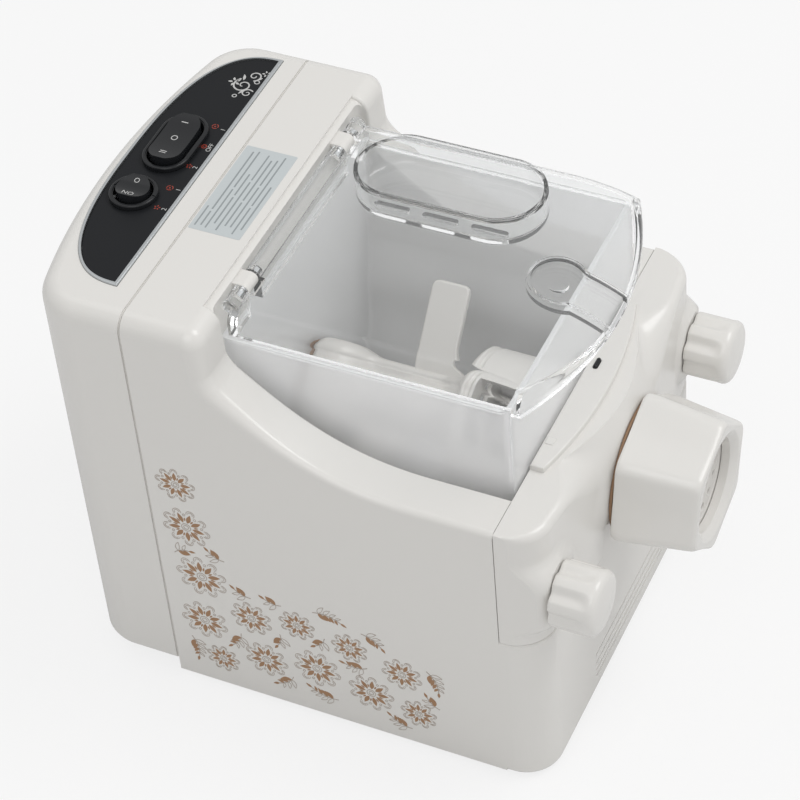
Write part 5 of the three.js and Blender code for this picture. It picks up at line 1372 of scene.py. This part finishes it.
class MachineLook(bpy.types.PropertyGroup):
    """Colours and light of the machine."""

    shell: bpy.props.FloatVectorProperty(
        name="Housing", description="Colour of the moulded housing",
        default=(0.78, 0.765, 0.735), **COLOUR)
    food: bpy.props.FloatVectorProperty(
        name="Food parts", description="Colour of barrel, die, auger and rod",
        default=(0.72, 0.7, 0.67), **COLOUR)
    clear: bpy.props.FloatVectorProperty(
        name="Clear parts", description="Tint of the lid",
        default=(0.98, 0.985, 0.985), **COLOUR)
    milky: bpy.props.FloatVectorProperty(
        name="Bucket", description="Tint of the milky bucket",
        default=(0.965, 0.967, 0.972), **COLOUR)
    black: bpy.props.FloatVectorProperty(
        name="Black parts", description="Colour of panel and switches",
        default=(0.014, 0.015, 0.017), **COLOUR)
    silver: bpy.props.FloatVectorProperty(
        name="Trim", description="Colour of the panel's trim",
        default=(0.5, 0.52, 0.53), **COLOUR)
    seal: bpy.props.FloatVectorProperty(
        name="Seals", description="Colour of the silicone rings",
        default=(0.27, 0.16, 0.09), **COLOUR)
    label: bpy.props.FloatVectorProperty(
        name="Label", description="Colour of the bare label",
        default=(0.56, 0.6, 0.61), **COLOUR)
    print: bpy.props.FloatVectorProperty(
        name="Print", description="Colour of the side print",
        default=(0.36, 0.2, 0.1), **COLOUR)
    line: bpy.props.FloatVectorProperty(
        name="Outline", description="Colour of the print's outlines",
        default=(0.42, 0.36, 0.31), **COLOUR)
    haze: bpy.props.FloatProperty(
        name="Bucket haze", description="Share of light that the bucket scatters",
        default=0.46, **FACTOR)
    surround: bpy.props.FloatProperty(
        name="Surround", description="Strength of the surrounding light",
        default=0.56, min=0, max=2)
    floor_glow: bpy.props.FloatProperty(
        name="Floor glow", description="Share of the floor's own white",
        default=0.78, **FACTOR)
    key: bpy.props.FloatProperty(
        name="Key lamp", description="Power of the key lamp", default=12.5, **LAMP)
    fill: bpy.props.FloatProperty(
        name="Fill lamp", description="Power of the fill lamp", default=6.0, **LAMP)
    top: bpy.props.FloatProperty(
        name="Top lamp", description="Power of the rear top lamp", default=2.0, **LAMP)


class MACHINE_OT_finishes(bpy.types.Operator):
    """Make every finish of the machine."""

    bl_idname = "machine.finishes"
    bl_label = "Make finishes"

    def execute(self, context):
        make_finishes(context.scene.machine_look)
        return {"FINISHED"}


class MACHINE_OT_housing(bpy.types.Operator):
    """Build base, rails and tower."""

    bl_idname = "machine.housing"
    bl_label = "Build housing"

    def execute(self, context):
        build_housing()
        return {"FINISHED"}


class MACHINE_OT_front_cover(bpy.types.Operator):
    """Build the removable front cover and its small parts."""

    bl_idname = "machine.front_cover"
    bl_label = "Build front cover"

    def execute(self, context):
        build_front_cover()
        return {"FINISHED"}


class MACHINE_OT_rear_cover(bpy.types.Operator):
    """Build the rounded rear cover."""

    bl_idname = "machine.rear_cover"
    bl_label = "Build rear cover"

    def execute(self, context):
        build_rear_cover()
        return {"FINISHED"}


class MACHINE_OT_panel(bpy.types.Operator):
    """Build the control panel, its trim and the switches."""

    bl_idname = "machine.panel"
    bl_label = "Build panel"

    def execute(self, context):
        build_panel()
        build_switches()
        return {"FINISHED"}


class MACHINE_OT_bucket(bpy.types.Operator):
    """Build the clear mixing bucket."""

    bl_idname = "machine.bucket"
    bl_label = "Build bucket"

    def execute(self, context):
        build_bucket()
        return {"FINISHED"}


class MACHINE_OT_lid(bpy.types.Operator):
    """Build the clear lid."""

    bl_idname = "machine.lid"
    bl_label = "Build lid"

    def execute(self, context):
        build_lid()
        return {"FINISHED"}


class MACHINE_OT_barrel(bpy.types.Operator):
    """Build barrel, die nut and die plate."""

    bl_idname = "machine.barrel"
    bl_label = "Build barrel"

    def execute(self, context):
        build_barrel()
        build_die_nut()
        build_die_plate()
        return {"FINISHED"}


class MACHINE_OT_knobs(bpy.types.Operator):
    """Build the two side knobs."""

    bl_idname = "machine.knobs"
    bl_label = "Build knobs"

    def execute(self, context):
        build_knobs()
        return {"FINISHED"}


class MACHINE_OT_drive(bpy.types.Operator):
    """Build the auger and the stirring rod."""

    bl_idname = "machine.drive"
    bl_label = "Build drive"

    def execute(self, context):
        build_auger()
        build_rod()
        return {"FINISHED"}


class MACHINE_OT_print(bpy.types.Operator):
    """Lay the side print."""

    bl_idname = "machine.print"
    bl_label = "Lay side print"

    def execute(self, context):
        build_print()
        return {"FINISHED"}


class MACHINE_OT_marks(bpy.types.Operator):
    """Lay the marks of switches and panel, and the bare label."""

    bl_idname = "machine.marks"
    bl_label = "Lay marks"

    def execute(self, context):
        build_marks()
        build_label()
        return {"FINISHED"}


class MACHINE_OT_frame(bpy.types.Operator):
    """Give the frame's own parts their finish."""

    bl_idname = "machine.frame"
    bl_label = "Dress frame"

    def execute(self, context):
        dress_frame()
        return {"FINISHED"}


class MACHINE_OT_stage(bpy.types.Operator):
    """Make floor, light and camera."""

    bl_idname = "machine.stage"
    bl_label = "Build stage"

    def execute(self, context):
        build_stage(context.scene.machine_look)
        return {"FINISHED"}


OPERATORS = [
    MACHINE_OT_finishes, MACHINE_OT_housing, MACHINE_OT_front_cover, MACHINE_OT_rear_cover,
    MACHINE_OT_panel, MACHINE_OT_bucket, MACHINE_OT_lid, MACHINE_OT_barrel, MACHINE_OT_knobs,
    MACHINE_OT_drive, MACHINE_OT_print, MACHINE_OT_marks, MACHINE_OT_frame, MACHINE_OT_stage,
]


class MACHINE_PT_sidebar(bpy.types.Panel):
    """Lists the machine's colours and steps."""

    bl_idname = "MACHINE_PT_sidebar"
    bl_label = "Noodle maker"
    bl_space_type = "VIEW_3D"
    bl_region_type = "UI"
    bl_category = "Noodle maker"

    def draw(self, context):
        look = context.scene.machine_look
        for key in MachineLook.__annotations__:
            self.layout.prop(look, key)
        for step in OPERATORS:
            self.layout.operator(step.bl_idname)


def register():
    bpy.utils.register_class(MachineLook)
    bpy.types.Scene.machine_look = bpy.props.PointerProperty(type=MachineLook)
    for step in OPERATORS:
        bpy.utils.register_class(step)
    bpy.utils.register_class(MACHINE_PT_sidebar)


def unregister():
    bpy.utils.unregister_class(MACHINE_PT_sidebar)
    for step in reversed(OPERATORS):
        bpy.utils.unregister_class(step)
    del bpy.types.Scene.machine_look
    bpy.utils.unregister_class(MachineLook)


def main():
    """Registers the classes and builds the machine step by step."""
    register()
    for step in OPERATORS:
        group, name = step.bl_idname.split(".")
        getattr(getattr(bpy.ops, group), name)()


if __name__ == "__main__":
    main()
